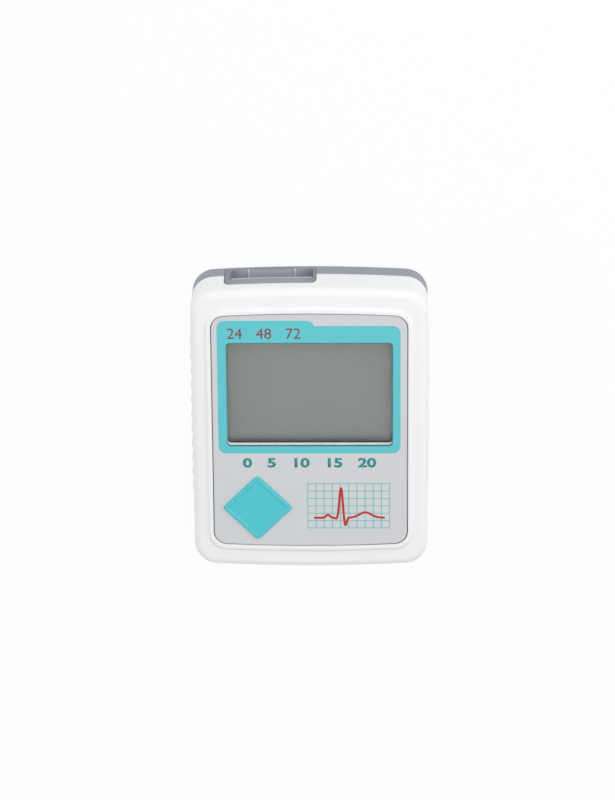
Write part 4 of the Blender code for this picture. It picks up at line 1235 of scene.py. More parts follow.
@dataclass
class FrontShell(Piece):
    """The white front moulding: walls with grip ribs, a rounded rim and a lip round the label."""

    ribs: Row = Row(3.7, 4.6, 11)
    rib_rows: Pair = (1.1, 1.9)
    rib_radius: float = 1.6
    rib_proud: float = 0.40
    rib_low: float = 9.4
    rib_high: float = 17.9
    rib_end: float = 0.7
    wall_start: float = 8.4
    wall_rows: tuple[float, ...] = (12.0, 14.0, 15.2, 16.0)
    rim_hold: float = 0.15
    foot_hold: float = 0.1
    lip_width: float = 1.2
    lip_slope: float = 1.1
    lip_edge: float = 0.22
    label_gap: float = 0.26
    gap_shadow_high: float = 20.88
    sill_low: float = 19.3
    sill_high: float = 20.3
    sill_foot: float = 19.55
    sill_width: float = 0.33
    sill_back: float = 0.5
    sill_gap: float = 0.02
    gap_shadow_room: float = 0.01
    gap_shadow_lift: float = 0.02
    gap_shadow_dip: float = 0.05
    case_post: Post = Post(2.2, 1.1, 10.7, 4.3, 19.2)
    board_post: Post = Post(1.6, 0.9, 17.8, 15.3, 19.2)
    board_screw_x: float = 30.6
    board_screw_rows: Pair = (-12.0, 20.25)

    def columns(self) -> tuple[Columns, slice]:
        """The columns of the wall: close together on the ribs and at the socket's notch.

        Returns:
            The columns, and the slice of them that lies over the socket.
        """
        plan, rise = self.plan, self.plan.outline.rise
        near, far = self.rib_rows
        ribs = self.ribs.places(np.concatenate([[-far], np.linspace(-near, near, 15), [far]]))
        beyond = [between(-rise, ribs[0], 6), between(ribs[-1], rise, 3)]
        side = np.sort(np.concatenate([ribs, *beyond])) / rise
        low, high = plan.notch
        radius = plan.socket_corner + plan.notch_gap
        quarter = radius * (1 - np.cos(np.linspace(0, math.pi / 2, 8)))
        flat = between(high - radius, low + radius, 14)
        inside = np.concatenate([high - quarter, flat, (low + quarter)[::-1]])
        top, over_socket = plan.top_columns(side, inside)
        return Columns(side, CORNER_SHARES, top, between(-1, 1, 40)), over_socket

    def notch_floor(self, points: Array, over_socket: slice) -> Array:
        """The least height of each column: the notch's outline over the socket, or none at all.

        Near its ends the notch follows a quarter of an ellipse, and elsewhere it is level.

        Args:
            points: The plan points of the outer wall.
            over_socket: Which of them lie over the socket.

        Returns:
            A height for each column.
        """
        plan = self.plan
        floor = np.full(len(points), -np.inf)
        x = points[over_socket, 0]
        low, high = plan.notch
        radius, rise = plan.socket_corner + plan.notch_gap, plan.socket_corner_rise + plan.notch_gap
        off = np.clip(radius - np.minimum(x - low, high - x), 0, radius) / radius
        floor[over_socket] = plan.socket_top + plan.notch_gap - rise * (1 - np.sqrt(1 - off**2))
        return floor

    def rib_rise(self, points: Array, height: float) -> Array:
        """How far the ribs stand out at each column, at a height.

        A rib is an upright rod sunk in the wall, so it stands out by the rod's height over its
        chord, and it fades out over its two ends.

        Args:
            points: The plan points of the outer wall.
            height: The height.

        Returns:
            A distance for each column.
        """
        off = self.ribs.off(points[:, 1])
        sunk = self.rib_radius - self.rib_proud
        chord = np.clip(self.rib_radius**2 - off**2, sunk**2, None)
        on_side = np.abs(points[:, 0]) > self.plan.outline.half_width - ON_LINE
        start = smooth_step((height - self.rib_low) / self.rib_end)
        end = smooth_step((self.rib_high - height) / self.rib_end)
        return np.where(on_side, (np.sqrt(chord) - sunk) * (start * end), 0.0)

    def build(self) -> None:
        """Builds the shell as one ring of profiles carried round the outline, and its face plate.

        The profile runs up the wall, round the rim, up a soft slope to the lip, down into the
        label's recess and back along the inside. Over the socket its heights are lifted to the
        notch.
        """
        plan, outline = self.plan, self.plan.outline
        columns, over_socket = self.columns()
        outer = columns.place(outline)
        seam = plan.seam + plan.seam_gap
        lap, inside = outline.grown(-plan.lap), outline.grown(-plan.wall)
        rows = [columns.at(lap, seam), *columns.rounding(outline, plan.seam_edge, seam, 1, 4)[::-1]]
        fade = np.linspace(0, self.rib_end, 7)
        ends = self.rib_low + fade, self.rib_high - fade[::-1]
        for height in np.concatenate([[self.wall_start], ends[0], self.wall_rows, ends[1]]):
            x = outer[:, 0] + np.sign(outer[:, 0]) * self.rib_rise(outer, height)
            rows.append(level(np.column_stack([x, outer[:, 1]]), height))
        rows += columns.rounding(outline, plan.rounding, plan.rim_top, -1, 13)
        rows.append(columns.at(outline.grown(-plan.rounding - self.rim_hold), plan.rim_top))
        foot = columns.place(plan.label.grown(self.lip_width + self.lip_slope))
        lip = columns.place(plan.label.grown(self.lip_width))
        rows.append(level(foot + (foot - lip) * self.foot_hold, plan.rim_top))
        for share in np.linspace(0, 1, 12):
            height = plan.rim_top + (plan.lip_top - plan.rim_top) * smooth_step(share)
            rows.append(level(foot + (lip - foot) * share, height))
        for inset, drop in edge_steps(self.lip_edge, 5)[::-1]:
            rows.append(columns.at(plan.label.grown(self.label_gap + inset), plan.lip_top - drop))
        recess = plan.label.grown(self.label_gap)
        rows += [columns.at(recess, plan.recess), columns.at(recess, plan.face_inside)]
        rows += [columns.at(inside, plan.face_inside), columns.at(inside, plan.lap_top)]
        grid = np.array([*rows, columns.at(lap, plan.lap_top)])
        grid[..., 2] = np.maximum(grid[..., 2], self.notch_floor(outer, over_socket))
        solid = Solid("front_moulding").loft(grid, ring=True)
        split_plates(solid, plan, recess, (plan.face_inside, plan.recess), (0.0, 0.0), 0.0)
        self.window_sill(solid)
        self.case_post.add(solid, plan.screw[0], (-plan.screw[1], plan.screw[1]))
        self.board_post.add(solid, self.board_screw_x, self.board_screw_rows)
        self.gap_shadow(columns)
        solid.build(self.finishes.white, Slot.WHITE, "front_shell")

    def window_sill(self, solid: Solid) -> None:
        """Adds the sloped sill along the window's lower side, which fades out round its corners.

        At each point of the window's outline the sill's width is its full width times how much
        the outline there faces down the case.

        Args:
            solid: What the sill is added to.
        """
        outline = self.plan.window(self.sill_gap)
        half = len(outline) // 2
        inward = (self.plan.window(self.sill_gap - self.sill_width) - outline)[half:]
        inner = outline[half:] + inward * inward[:, 1:] / self.sill_width
        outer = outline[half:] - inward * self.sill_back
        heights = (self.sill_low, self.sill_foot, self.sill_high, self.sill_low)
        runs = (inner, inner, outline[half:], outer)
        solid.loft(np.stack([level(points, height) for points, height in zip(runs, heights)], 1))

    def gap_shadow(self, columns: Columns) -> None:
        """Builds a dark bead in the gap between the lip and the label, as painted shadow of the gap.

        Args:
            columns: The columns of the wall.
        """
        label, foot = self.plan.label, self.plan.recess + self.gap_shadow_lift
        inner, outer = label.grown(self.gap_shadow_room), label.grown(self.label_gap - self.gap_shadow_room)
        middle = label.grown(self.label_gap / 2)
        rows = [columns.at(inner, foot), columns.at(outer, foot), columns.at(outer, self.gap_shadow_high)]
        rows += [columns.at(middle, self.gap_shadow_high - self.gap_shadow_dip), columns.at(inner, self.gap_shadow_high)]
        Solid("label_gap_shadow").loft(rows, ring=True).build(self.finishes.gap_shadow, Slot.WHITE)


@dataclass
class RearShell(Piece):
    """The grey rear moulding: a rounded tray with the door's runners and the battery bay."""

    wall_rows: Pair = (5.5, 4.0)
    lip_thickness: float = 0.7
    lip_edge: float = 0.12
    sink_radius: float = 1.8
    bay_half: float = 25.0
    bay_low: float = -38.65
    bay_high: float = -16.45
    bay_top: float = 12.9
    bay_wall: float = 1.6
    bay_end_wall: float = 1.2
    bay_corner: float = 0.2
    wall_corner: float = 0.3
    roof: float = 13.5
    roof_edge: float = 0.05
    floor_half: float = 28.4
    floor_end: float = -12.05
    floor_high: float = 3.3
    floor_lift: float = 0.01
    tab_slot: float = 1.0
    runner: float = 1.2
    runner_low: float = 0.3
    runner_edge: float = 0.02
    ring: Pair = (2.2, 1.1)
    ring_heights: Pair = (1.7, 4.0)
    amplifier_post: Post = Post(1.9, 0.9, 2.2, 2.7, 1.7)
    amplifier_screw_x: float = 22.8
    amplifier_screw_rows: Pair = (-8.45, 26.7)

    def columns(self) -> tuple[Columns, slice, slice]:
        """The columns of the wall, with some at the ends of the notch and of the door's way.

        Returns:
            The columns, and the slices of them that lie over the socket and over the door.
        """
        plan, way = self.plan, self.plan.rail_half
        side = between(-1, 1, 12)
        top, over_socket = plan.top_columns(side, np.linspace(*plan.notch[::-1], 20))
        beside, door = np.linspace(-plan.bow_width(), -way, 3)[1:], np.linspace(-way, way, 40)
        bottom = plan.end_shares(np.concatenate([beside, door, -beside[::-1]]))
        start = 2 * len(side) + 3 * len(CORNER_SHARES) + len(top) + len(beside)
        return Columns(side, CORNER_SHARES, top, bottom), over_socket, slice(start, start + len(door))

    def wall(self, solid: Solid) -> None:
        """Adds the wall: a ring of profiles from the seam down round the lower edge and back inside.

        Its heights are lowered to the back's thickness at the socket and lifted over the door.

        Args:
            solid: What the wall is added to.
        """
        plan, outline = self.plan, self.plan.outline
        columns, over_socket, over_door = self.columns()
        seam, high = plan.seam - plan.seam_gap, plan.lap_top - plan.lap_gap
        tongue, inside = outline.grown(-plan.lap - plan.lap_gap), outline.grown(-plan.wall)
        rows = [columns.at(tongue, high), columns.at(tongue, seam)]
        rows += columns.rounding(outline, plan.seam_edge, seam, -1, 4)[::-1]
        rows += [columns.at(outline, height) for height in self.wall_rows]
        rows += columns.rounding(outline, plan.back_rounding, 0.0, 1, 9)
        rows.append(columns.at(outline.grown(-plan.back_rounding), plan.back_wall))
        rows += [columns.at(inside, plan.back_wall), columns.at(inside, high)]
        grid = np.array(rows)
        grid[:, over_socket, 2] = np.minimum(grid[:, over_socket, 2], plan.back_wall)
        grid[:, over_door, 2] = np.maximum(grid[:, over_door, 2], plan.door_room)
        solid.loft(grid, ring=True)

    def back(self, solid: Solid) -> None:
        """Adds the back's plates round the four screw sinks, and the lips over the door's rails.

        The upper plates meet in the middle, and the lower ones stop beside the door's rails.

        Args:
            solid: What they are added to.
        """
        plan = self.plan
        rim = plan.outline.grown(-plan.back_rounding)
        border = self.columns()[0].place(rim)
        halves = (
            (1, 0.0, rim.half_length, plan.back_wall),
            (-1, plan.rail_half, -rim.end_y(plan.rail_half), plan.door_room),
        )
        for side in (-1, 1):
            for way, x, y, height in halves:
                on_half = way * (border[:, 1] - plan.rail_end) > 0
                part = border[on_half & (border[:, 0] * side > x)]
                corners = [(side * x, y), (side * x, plan.rail_end), (side * rim.half_width, plan.rail_end)]
                hole = circle((side * plan.screw[0], way * plan.screw[1]), self.sink_radius)
                solid.plate(np.concatenate([part, corners]), hole, (0.0, height))
            self.side_lip(solid, side)
        near, far = (-plan.rail_half, plan.door_end, 0.0), (plan.rail_half, plan.rail_end, self.lip_thickness)
        solid.block(near, far, self.lip_edge)

    def side_lip(self, solid: Solid, side: int) -> None:
        """Adds the lip that holds one of the door's rails: a strip whose end follows the edge.

        Args:
            solid: What the lip is added to.
            side: 1 on the right, and -1 on the left.
        """
        plan = self.plan
        x = side * np.linspace(plan.door_half, plan.rail_half, 4)
        radius = plan.back_rounding
        inset = np.append(np.linspace(plan.edge_off(self.lip_thickness), radius, 8), radius + 1)
        solid.sheet(plan.edge_grid(x, inset, np.array([plan.door_end])), self.lip_thickness)

    def bay(self, solid: Solid) -> None:
        """Adds the floor that the door runs under, the battery bay's walls, its roof and the runners.

        Args:
            solid: What they are added to.
        """
        plan = self.plan
        hole = rounded_box((-self.bay_half, self.bay_low), (self.bay_half, self.bay_high), self.bay_corner, 2)
        end = -plan.outline.half_length + plan.wall
        floor = rounded_box((-self.floor_half, end), (self.floor_half, self.floor_end), self.bay_corner, 2)
        solid.plate(floor, hole, (plan.door_room + self.floor_lift, self.floor_high))
        half = self.bay_half + self.bay_wall
        low, high = self.bay_low - self.bay_end_wall, self.bay_high + self.bay_end_wall
        walls = rounded_box((-half, low), (half, high), self.wall_corner, 2)
        solid.plate(walls, hole, (self.floor_high, self.bay_top))
        near, far = (self.tab_slot - self.bay_half, low, self.bay_top), (half, high, self.roof)
        solid.block(near, far, self.roof_edge)
        rail, top = plan.rail_half, plan.rail_end + self.runner
        for x in ((-rail - self.runner, -rail), (rail, rail + self.runner)):
            solid.block((x[0], end, self.lip_thickness), (x[1], top, plan.door_room), self.runner_edge)
        solid.block((-rail, plan.rail_end, self.runner_low), (rail, top, plan.door_room), self.runner_edge)

    def posts(self, solid: Solid) -> None:
        """Adds the ring at the bottom of each screw sink, and the amplifier board's posts.

        Args:
            solid: What they are added to.
        """
        plan = self.plan
        for x in (-plan.screw[0], plan.screw[0]):
            for y in (-plan.screw[1], plan.screw[1]):
                outer, bore = (circle((x, y), radius) for radius in self.ring)
                solid.plate(outer, bore, self.ring_heights)
        self.amplifier_post.add(solid, self.amplifier_screw_x, self.amplifier_screw_rows)

    def build(self) -> None:
        """Builds the shell."""
        solid = Solid("rear_moulding")
        self.wall(solid)
        self.back(solid)
        self.bay(solid)
        self.posts(solid)
        solid.build(self.finishes.grey, Slot.GREY, "rear_shell")


@dataclass
class BatteryDoor(Piece):
    """The door that slides off the back: a plate with grip grooves, on two rails."""

    half: float = 24.55
    rail_half: float = 25.9
    thickness: float = 1.8
    rail_low: float = 1.0
    gap: float = 0.15
    groove_row: Row = Row(-26.8, 1.8, 5)
    groove_width: float = 0.9
    groove_depth: float = 0.4
    groove_half: float = 7.5
    groove_fade: float = 0.5
    rail_row: float = -30.0
    tuck: float = 0.02

    def grooves(self, x: Array, y: Array) -> Array:
        """The depth of the grip grooves: half ellipses across Y that end in soft steps along X.

        Args:
            x: The places along X.
            y: The places along Y.

        Returns:
            A depth for each place.
        """
        off = np.abs(self.groove_row.off(y)) / (self.groove_width / 2)
        along = smooth_step((self.groove_half - np.abs(x)) / self.groove_fade)
        return self.groove_depth * np.sqrt(np.clip(1 - off**2, 0, 1)) * along

    def sheet(
        self, solid: Solid, half: float, low: float, end_y: float, across: Array, rows: Array
    ) -> None:
        """Adds a plate whose lower face follows the case's rounded edge at its outer end.

        A plate that isn't the lowest one stays a hair inside the other, so that no faces meet.

        Args:
            solid: What the plate is added to.
            half: Half of its width.
            low: The least height of its lower face.
            end_y: Where it ends towards the middle of the case.
            across: Its columns, as shares of half its width.
            rows: Extra rows along Y, as y.
        """
        plan, tuck = self.plan, self.tuck if low else 0.0
        inset = np.linspace(plan.edge_off(self.thickness), plan.back_rounding, 10)
        bottom = plan.edge_grid(across * half, inset, np.append(rows, end_y))
        bottom[: len(inset), :, 1] += tuck
        cut = 0.0 if low else self.grooves(bottom[..., 0], bottom[..., 1])
        bottom[..., 2] = np.maximum(bottom[..., 2], low) + cut
        solid.sheet(bottom, self.thickness - tuck)

    def build(self) -> None:
        """Builds the door."""
        rows = self.groove_row.places(np.linspace(-self.groove_width / 2, self.groove_width / 2, 9))
        ends = np.linspace(-self.groove_half, -self.groove_half + self.groove_fade, 5) / self.half
        shares = np.concatenate([[-1, -0.6], ends, np.linspace(ends[-1], 0, 5)[1:]])
        shares = np.concatenate([shares, -shares[-2::-1]])
        solid = Solid("sliding_door")
        self.sheet(solid, self.half, 0.0, self.plan.door_end - self.gap, shares, rows)
        plain = np.linspace(-1, 1, 9)
        end_y = self.plan.rail_end - self.gap
        self.sheet(solid, self.rail_half, self.rail_low, end_y, plain, np.array([self.rail_row]))
        solid.build(self.finishes.grey, Slot.GREY, "battery_door", body=Body.DOOR)


@dataclass
class Socket(Piece):
    """The grey housing for the patient cable's plug, with a lined mouth and two keying ribs. The lining's
    paler grey and the lighter ribs and sill are painted light.
    """

    low: float = 1.82
    back: float = 33.3
    mouth: Pair = (-22.75, 0.4)
    mouth_low: float = 3.1
    mouth_top: float = 9.9
    mouth_corner: float = 0.5
    mouth_edge: float = 0.15
    pocket: float = 34.3
    edge: float = 0.35
    side_edge_share: float = 0.25
    flare: float = 0.8
    flare_depth: float = 2.4
    recess: float = 0.25
    sill_height: float = 0.55
    sill_depth: float = 0.5
    lit_lining: float = 0.05
    rib_x: Pair = (-18.1, -4.3)
    rib_width: float = 0.5
    rib_height: float = 0.8
    rib_start: float = 37.2
    rib_round: float = 0.4
    rib_sink: float = 0.3
    rib_nose: Pair = (0.25, 0.05)
    rib_fall: float = 0.1
    sill_edge: float = 0.12
    sill_reach: float = 0.2
    tuck: float = 0.02

    def loop(self, points: Array, depth: Array | float) -> Array:
        """Points of x and z with their y, as rows of x, y and z."""
        return np.column_stack([points[:, 0], np.broadcast_to(depth, len(points)), points[:, 1]])

    def front(self, points: Array) -> Array:
        """The y of the case's bowed end over points of x and z."""
        return self.plan.outline.end_y(points[:, 0])

    def build(self) -> None:
        """Builds the housing from loops about the mouth's axis, and the paler cup in its mouth, which is
        painted light.

        The loops run from the closed back along the outside, round the front edge, over the
        front, which is sunk a little above the mouth, and down the mouth's flared walls. The
        outside's upper corners are quarters of an ellipse.
        """
        plan = self.plan
        flat = plan.socket_corner / plan.socket_corner_rise
        low, high = (plan.socket[0], self.low * flat), (plan.socket[1], plan.socket_top * flat)
        outer = rounded_box(low, high, plan.socket_corner, 9) / [1, flat]
        below = outer[:, 1] < plan.seam
        side = np.where(outer[:, 0] < sum(plan.socket) / 2, *plan.socket)
        outer[:, 0] = np.where(below, side, outer[:, 0])
        outer[:, 1] = np.where(below, self.low, outer[:, 1])
        low, high = (self.mouth[0], self.mouth_low), (self.mouth[1], self.mouth_top)
        inner = rounded_box(low, high, self.mouth_corner)
        centre = inner.mean(0)
        far, near = paired(outer, inner, centre)
        rows = [self.loop(far, self.back)]
        soft = np.where(far[:, 1] < plan.seam, self.side_edge_share, 1.0)
        front = self.front(far) - self.recess * (far[:, 1] > plan.seam)
        for inset, drop in edge_steps(self.edge, 5):
            shrunk = far - outward(far, centre) * (inset * soft)[:, None]
            rows.append(self.loop(shrunk, front - drop * soft))
        off = near[:, 0] - centre[0]
        at_end = np.abs(off) > (self.mouth[1] - self.mouth[0]) / 2 - self.mouth_corner
        spread = np.column_stack([np.where(at_end, np.sign(off) * self.flare, 0.0), np.zeros(len(near))])
        away = outward(near, centre)
        mouth = near + spread
        back = self.front(mouth) - self.recess * (near[:, 1] > plan.seam)
        for inset, drop in edge_steps(self.mouth_edge)[::-1]:
            rows.append(self.loop(mouth + away * inset, back - drop))
        rows += [self.loop(near, self.front(near) - self.flare_depth), self.loop(near, self.pocket)]
        housing = Solid("cable_socket").loft(rows)
        self.line(near, spread, away)
        ribs = Solid("keying_ribs")
        for x in self.rib_x:
            self.rib(ribs, x)
        # The ribs and the sill take lighter greys as painted highlights.
        ribs.build(self.finishes.rib, Slot.GREY)
        self.sill().build(self.finishes.sill, Slot.GREY)
        housing.build(self.finishes.socket, Slot.GREY, "connector_housing")

    def line(self, near: Array, spread: Array, away: Array) -> None:
        """Builds the mouth's lining: a thin cup that follows its flared walls. Its paler grey is painted
        light, which darkens towards the mouth's ends as painted shade.

        Args:
            near: The loop of the mouth's walls.
            spread: How far the flare moves each point at the front.
            away: The way out from the mouth's axis at each point.
        """
        mouth = near + spread
        rows = []
        for side in (1, -1):
            skin = side * self.lit_lining * away
            cup = [
                self.loop(near + skin, self.pocket - side * self.lit_lining),
                self.loop(near + skin, self.front(near) - self.flare_depth),
                self.loop(mouth + skin, self.front(mouth) - self.mouth_edge),
            ]
            rows += cup[::side]
        Solid("mouth_lit_lining").loft(rows).build(self.finishes.lit_lining, Slot.GREY)

    def sill(self) -> Solid:
        """The sill over the mouth: a bar with rounded edges that follows the bowed end, in a lighter grey
        that is a painted highlight.

        Returns:
            The sill.
        """
        low, high = self.mouth_top - self.tuck, self.mouth_top + self.sill_height
        section = rounded_box((-self.sill_depth, low), (-self.tuck, high), self.sill_edge, 3)
        rows = []
        for x in np.linspace(self.mouth[0] - self.sill_reach, self.mouth[1] + self.sill_reach, 24):
            across = np.full(len(section), x)
            rows.append(np.column_stack([across, section[:, 0] + self.plan.outline.end_y(x), section[:, 1]]))
        return Solid("mouth_sill").loft(rows)

    def rib(self, solid: Solid, x: float) -> None:
        """Adds a keying rib on the mouth's floor: a rounded section carried out along Y. The ribs take a
        lighter grey as a painted highlight.

        Over half a turn, x follows the cosine, and the height a low power of the sine, so the
        section is fuller than a half ellipse. The rib's last loop is a little lower.

        Args:
            solid: What the rib is added to.
            x: Its middle.
        """
        angle, half = np.linspace(0, math.pi, 9), self.rib_width / 2
        z = self.mouth_low + self.rib_height * np.sin(angle) ** self.rib_round
        foot = [[x + side * half, self.mouth_low - self.rib_sink] for side in (-1, 1)]
        section = np.concatenate([np.column_stack([x + half * np.cos(angle), z]), foot])
        start, end = self.plan.outline.end_y(x) - np.array(self.rib_nose)
        nose = section * [1, 1 - self.rib_fall] + [0, self.rib_fall * self.mouth_low]
        solid.loft([self.loop(section, self.rib_start), self.loop(section, start), self.loop(nose, end)])


@dataclass(frozen=True)
class NumberRow:
    """A printed row of numbers: its digits and spaces, its middle and size, and its weight."""

    name: str
    digits: str
    middle: Pair
    height: float
    width: float
    bold: float


@dataclass
class Overlay(Piece):
    """The label in the lip's recess, with what is printed on it."""

    ink: float = 0.018
    frame_low: Pair = (-27.1, -7.1)
    frame_high: Pair = (26.7, 33.2)
    tab_top: float = 34.9
    tab_end: float = -1.3
    tab_foot: float = 1.25
    frame_corner: float = 2.3
    grid_low: Pair = (-0.95, -31.35)
    grid_high: Pair = (23.65, -16.75)
    grid_cells: tuple[int, int] = (10, 6)
    grid_line: float = 0.24
    trace_start: Pair = (1.25, -27.9)
    trace_length: float = 20.6
    trace_width: float = 0.7
    window_room: float = 0.06
    opening_shade_width: float = 0.2
    opening_shade_low: float = 20.5
    key_room: float = 0.008
    label_edge: float = 0.06
    tuck: float = 0.01
    grid_ink: float = 0.6
    number_ink: float = 1.2
    pen_end: float = 0.98

    def label(self) -> None:
        """Builds the label's two half plates, with room for the lens and the key."""
        plan, solid = self.plan, Solid("overlay_label")
        rooms = (self.window_room, self.key_room)
        split_plates(solid, plan, plan.label, (plan.label_low, plan.label_face), rooms, self.label_edge)
        solid.build(self.finishes.overlay, Slot.OVERLAY, "front_label")

    def frame(self) -> None:
        """Builds the teal frame round the window: a plate from its tabbed outline to the window.

        The tab's end is a quarter of an ellipse that stands on the frame's upper edge. A dark teal
        band round the label's opening, which also lines its cut edge, is painted shade.
        """
        plan = self.plan
        border = rounded_box(self.frame_low, self.frame_high, self.frame_corner, 8)
        rise = self.tab_top - self.frame_high[1]
        left, right = border[border[:, 0] < 0], border[border[:, 0] > 0]
        left = left + np.column_stack([np.zeros(len(left)), np.where(left[:, 1] > 0, rise, 0.0)])
        turn = np.linspace(0, math.pi / 2, 11)
        across = self.tab_end + (self.tab_foot - self.tab_end) * np.cos(turn)
        shoulder = np.column_stack([across, self.frame_high[1] + rise * np.sin(turn)])
        upper, lower = right[right[:, 1] > 0], right[right[:, 1] < 0]
        outer = np.concatenate([upper, shoulder, left, lower])
        solid, hole = Solid("teal_frame_print"), plan.window(self.window_room / 2)
        heights = (plan.label_face - 2 * self.tuck, plan.label_face + self.ink)
        solid.plate(outer, hole, heights, centre=np.array(plan.window_middle))
        # Painted shade: a dark teal band round the opening that also lines its cut edge.
        edge = Solid("opening_edge_shade")
        heights = (self.opening_shade_low, plan.label_face + self.ink + 0.002)
        edge.plate(plan.window(self.opening_shade_width), plan.window(-self.tuck), heights)
        edge.build(self.finishes.edge_ink, Slot.OVERLAY)
        solid.build(self.finishes.teal_ink, Slot.OVERLAY)

    def strip(self, solid: Solid, low: Pair, high: Pair, top: float) -> None:
        """Adds a printed bar between two corners."""
        bar = np.array([low, (high[0], low[1]), high, (low[0], high[1])])
        solid.loft([level(bar, self.plan.label_face - self.tuck), level(bar, top)])

    def grid(self) -> None:
        """Builds the printed grid from one bar for each line."""
        solid = Solid("grid_print")
        half = self.grid_line / 2
        top = self.plan.label_face + self.ink * self.grid_ink
        (left, bottom), (right, high) = self.grid_low, self.grid_high
        for x in np.linspace(left + half, right - half, self.grid_cells[0] + 1):
            self.strip(solid, (x - half, bottom), (x + half, high), top)
        for y in np.linspace(bottom + half, high - half, self.grid_cells[1] + 1):
            self.strip(solid, (left, y - half), (right, y + half), top + 0.001)
        solid.build(self.finishes.grid_ink, Slot.OVERLAY)

    def heartbeat(self, x: Array) -> Array:
        """The height of the trace over each x, as a sum of bell curves.

        The bells are a small first wave, the narrow dip, peak and dip of the beat, and a broad
        last wave. Each has a place, a width and a height.

        Args:
            x: The places along the trace.

        Returns:
            A height for each place.
        """
        beat = ((6.6, 0.45, -0.4), (7.8, 0.48, 9.6), (9.05, 0.40, -2.65))
        bells = ((3.9, 0.55, 0.95), *beat, (15.0, 1.75, 1.75))
        return sum(height * np.exp(-(((x - place) / width) ** 2) / 2) for place, width, height in bells)

    def trace(self) -> None:
        """Builds the red trace: the strip that a round pen covers along the heartbeat curve.

        Over each x the strip reaches from the lowest to the highest point of the pen's circles
        about the curve's points that are no further off than the pen's radius.
        """
        pen = self.trace_width / 2
        x = np.linspace(-self.pen_end * pen, self.trace_length + self.pen_end * pen, 560)
        off = pen * np.sin(np.linspace(-math.pi / 2, math.pi / 2, 65))
        near = x[:, None] + off
        middle = self.heartbeat(near)
        reach = np.sqrt(pen**2 - off**2)
        drawn = (near >= 0) & (near <= self.trace_length)
        upper = np.where(drawn, middle + reach, -np.inf).max(1)
        lower = np.where(drawn, middle - reach, np.inf).min(1)
        left = np.column_stack([x, upper]) + self.trace_start
        right = np.column_stack([x, lower]) + self.trace_start
        low, high = self.plan.label_face - self.tuck, self.plan.label_face + self.ink
        rows = np.stack([level(left, low), level(right, low), level(right, high), level(left, high)], 1)
        solid = Solid("trace_print").loft(rows)
        solid.build(self.finishes.trace_ink, Slot.OVERLAY)

    def numbers(self, row: NumberRow, material: Material) -> None:
        """Builds a row of printed numbers, fitted to its width and height.

        Args:
            row: What is printed, and where.
            material: The ink.
        """
        curve = bpy.data.curves.new(row.name, "FONT")
        curve.body = row.digits
        curve.size = 1.0
        curve.offset = row.bold
        curve.resolution_u = 4
        guide = placed(row.name + "_guide", curve)
        mesh = bpy.data.meshes.new_from_object(guide.evaluated_get(bpy.context.evaluated_depsgraph_get()))
        bpy.data.objects.remove(guide)
        flat = np.empty(len(mesh.vertices) * 3)
        mesh.vertices.foreach_get("co", flat)
        flat = flat.reshape(-1, 3)
        low, high = flat.min(0), flat.max(0)
        scale = np.array([row.width / (high[0] - low[0]), row.height / (high[1] - low[1])])
        points = (flat[:, :2] - (low + high)[:2] / 2) * scale + row.middle
        thickness = self.ink * self.number_ink
        mesh.vertices.foreach_set("co", (level(points, self.plan.label_face + thickness) * MM).ravel())
        mesh.name = row.name
        mesh.materials.clear()
        mesh.materials.append(material)
        obj = placed(row.name, mesh)
        thick = obj.modifiers.new("ink", "SOLIDIFY")
        thick.thickness = thickness * MM
        thick.offset = -1.0
        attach(obj, Body.CASE.value)
        LOG.info("%s: %s", row.name, row.digits)

    def build(self) -> None:
        """Builds the label and its print."""
        self.label()
        self.frame()
        self.grid()
        self.trace()
        hours = NumberRow("hours_print", "24   48   72", (-13.3, 30.85), 3.3, 21.5, 0.0)
        scale = NumberRow("scale_print", "0   5   10   15   20", (-0.2, -10.1), 3.1, 39.5, 0.035)
        self.numbers(hours, self.finishes.number_ink)
        self.numbers(scale, self.finishes.scale_ink)


@dataclass
class Display(Piece):
    """The clear lens and the reflective cell behind it."""

    lens_low: float = 17.9
    shoulder: float = 18.7
    flange: float = 1.7
    lens_gap: float = 0.12
    lens_face: float = 19.5
    lens_edge: float = 0.12
    glass_margin: float = 2.9
    glass_high: float = 17.6
    glass_step: float = 16.6
    glass_low: float = 15.3
    ledge: float = 2.6
    seen_low: Pair = (-24.3, -4.85)
    seen_high: Pair = (24.3, 26.55)
    glass_edge: float = 0.08

    def lens(self) -> None:
        """Builds the lens from loops up its flange and its pad, with a soft upper edge."""
        plan = self.plan
        flange = plan.window(self.flange)
        pad = plan.window(-self.lens_gap)
        rows = [level(flange, self.lens_low), level(flange, self.shoulder), level(pad, self.shoulder)]
        for inset, drop in edge_steps(self.lens_edge):
            rows.append(level(plan.window(-self.lens_gap - inset), self.lens_face - drop))
        Solid("lens").loft(rows).build(self.finishes.lens, Slot.LENS, "display_lens")

    def cell(self) -> None:
        """Builds the display cell as two stepped panes."""
        plan = self.plan
        (x, y), (a, b) = plan.window_middle, plan.window_half
        a, b = a + self.glass_margin, b + self.glass_margin
        finish = DisplayGlass(self.seen_low, self.seen_high)
        solid = Solid("display_cell")
        solid.block((x - a, y - b, self.glass_step), (x + a, y + b, self.glass_high), self.glass_edge)
        low, high = (x - a, y - b + self.ledge, self.glass_low), (x + a, y + b - self.ledge, self.glass_step)
        solid.block(low, high, self.glass_edge)
        solid.build(finish.material(), Slot.DISPLAY, "lcd_cell")

    def build(self) -> None:
        """Builds both pieces."""
        self.lens()
        self.cell()


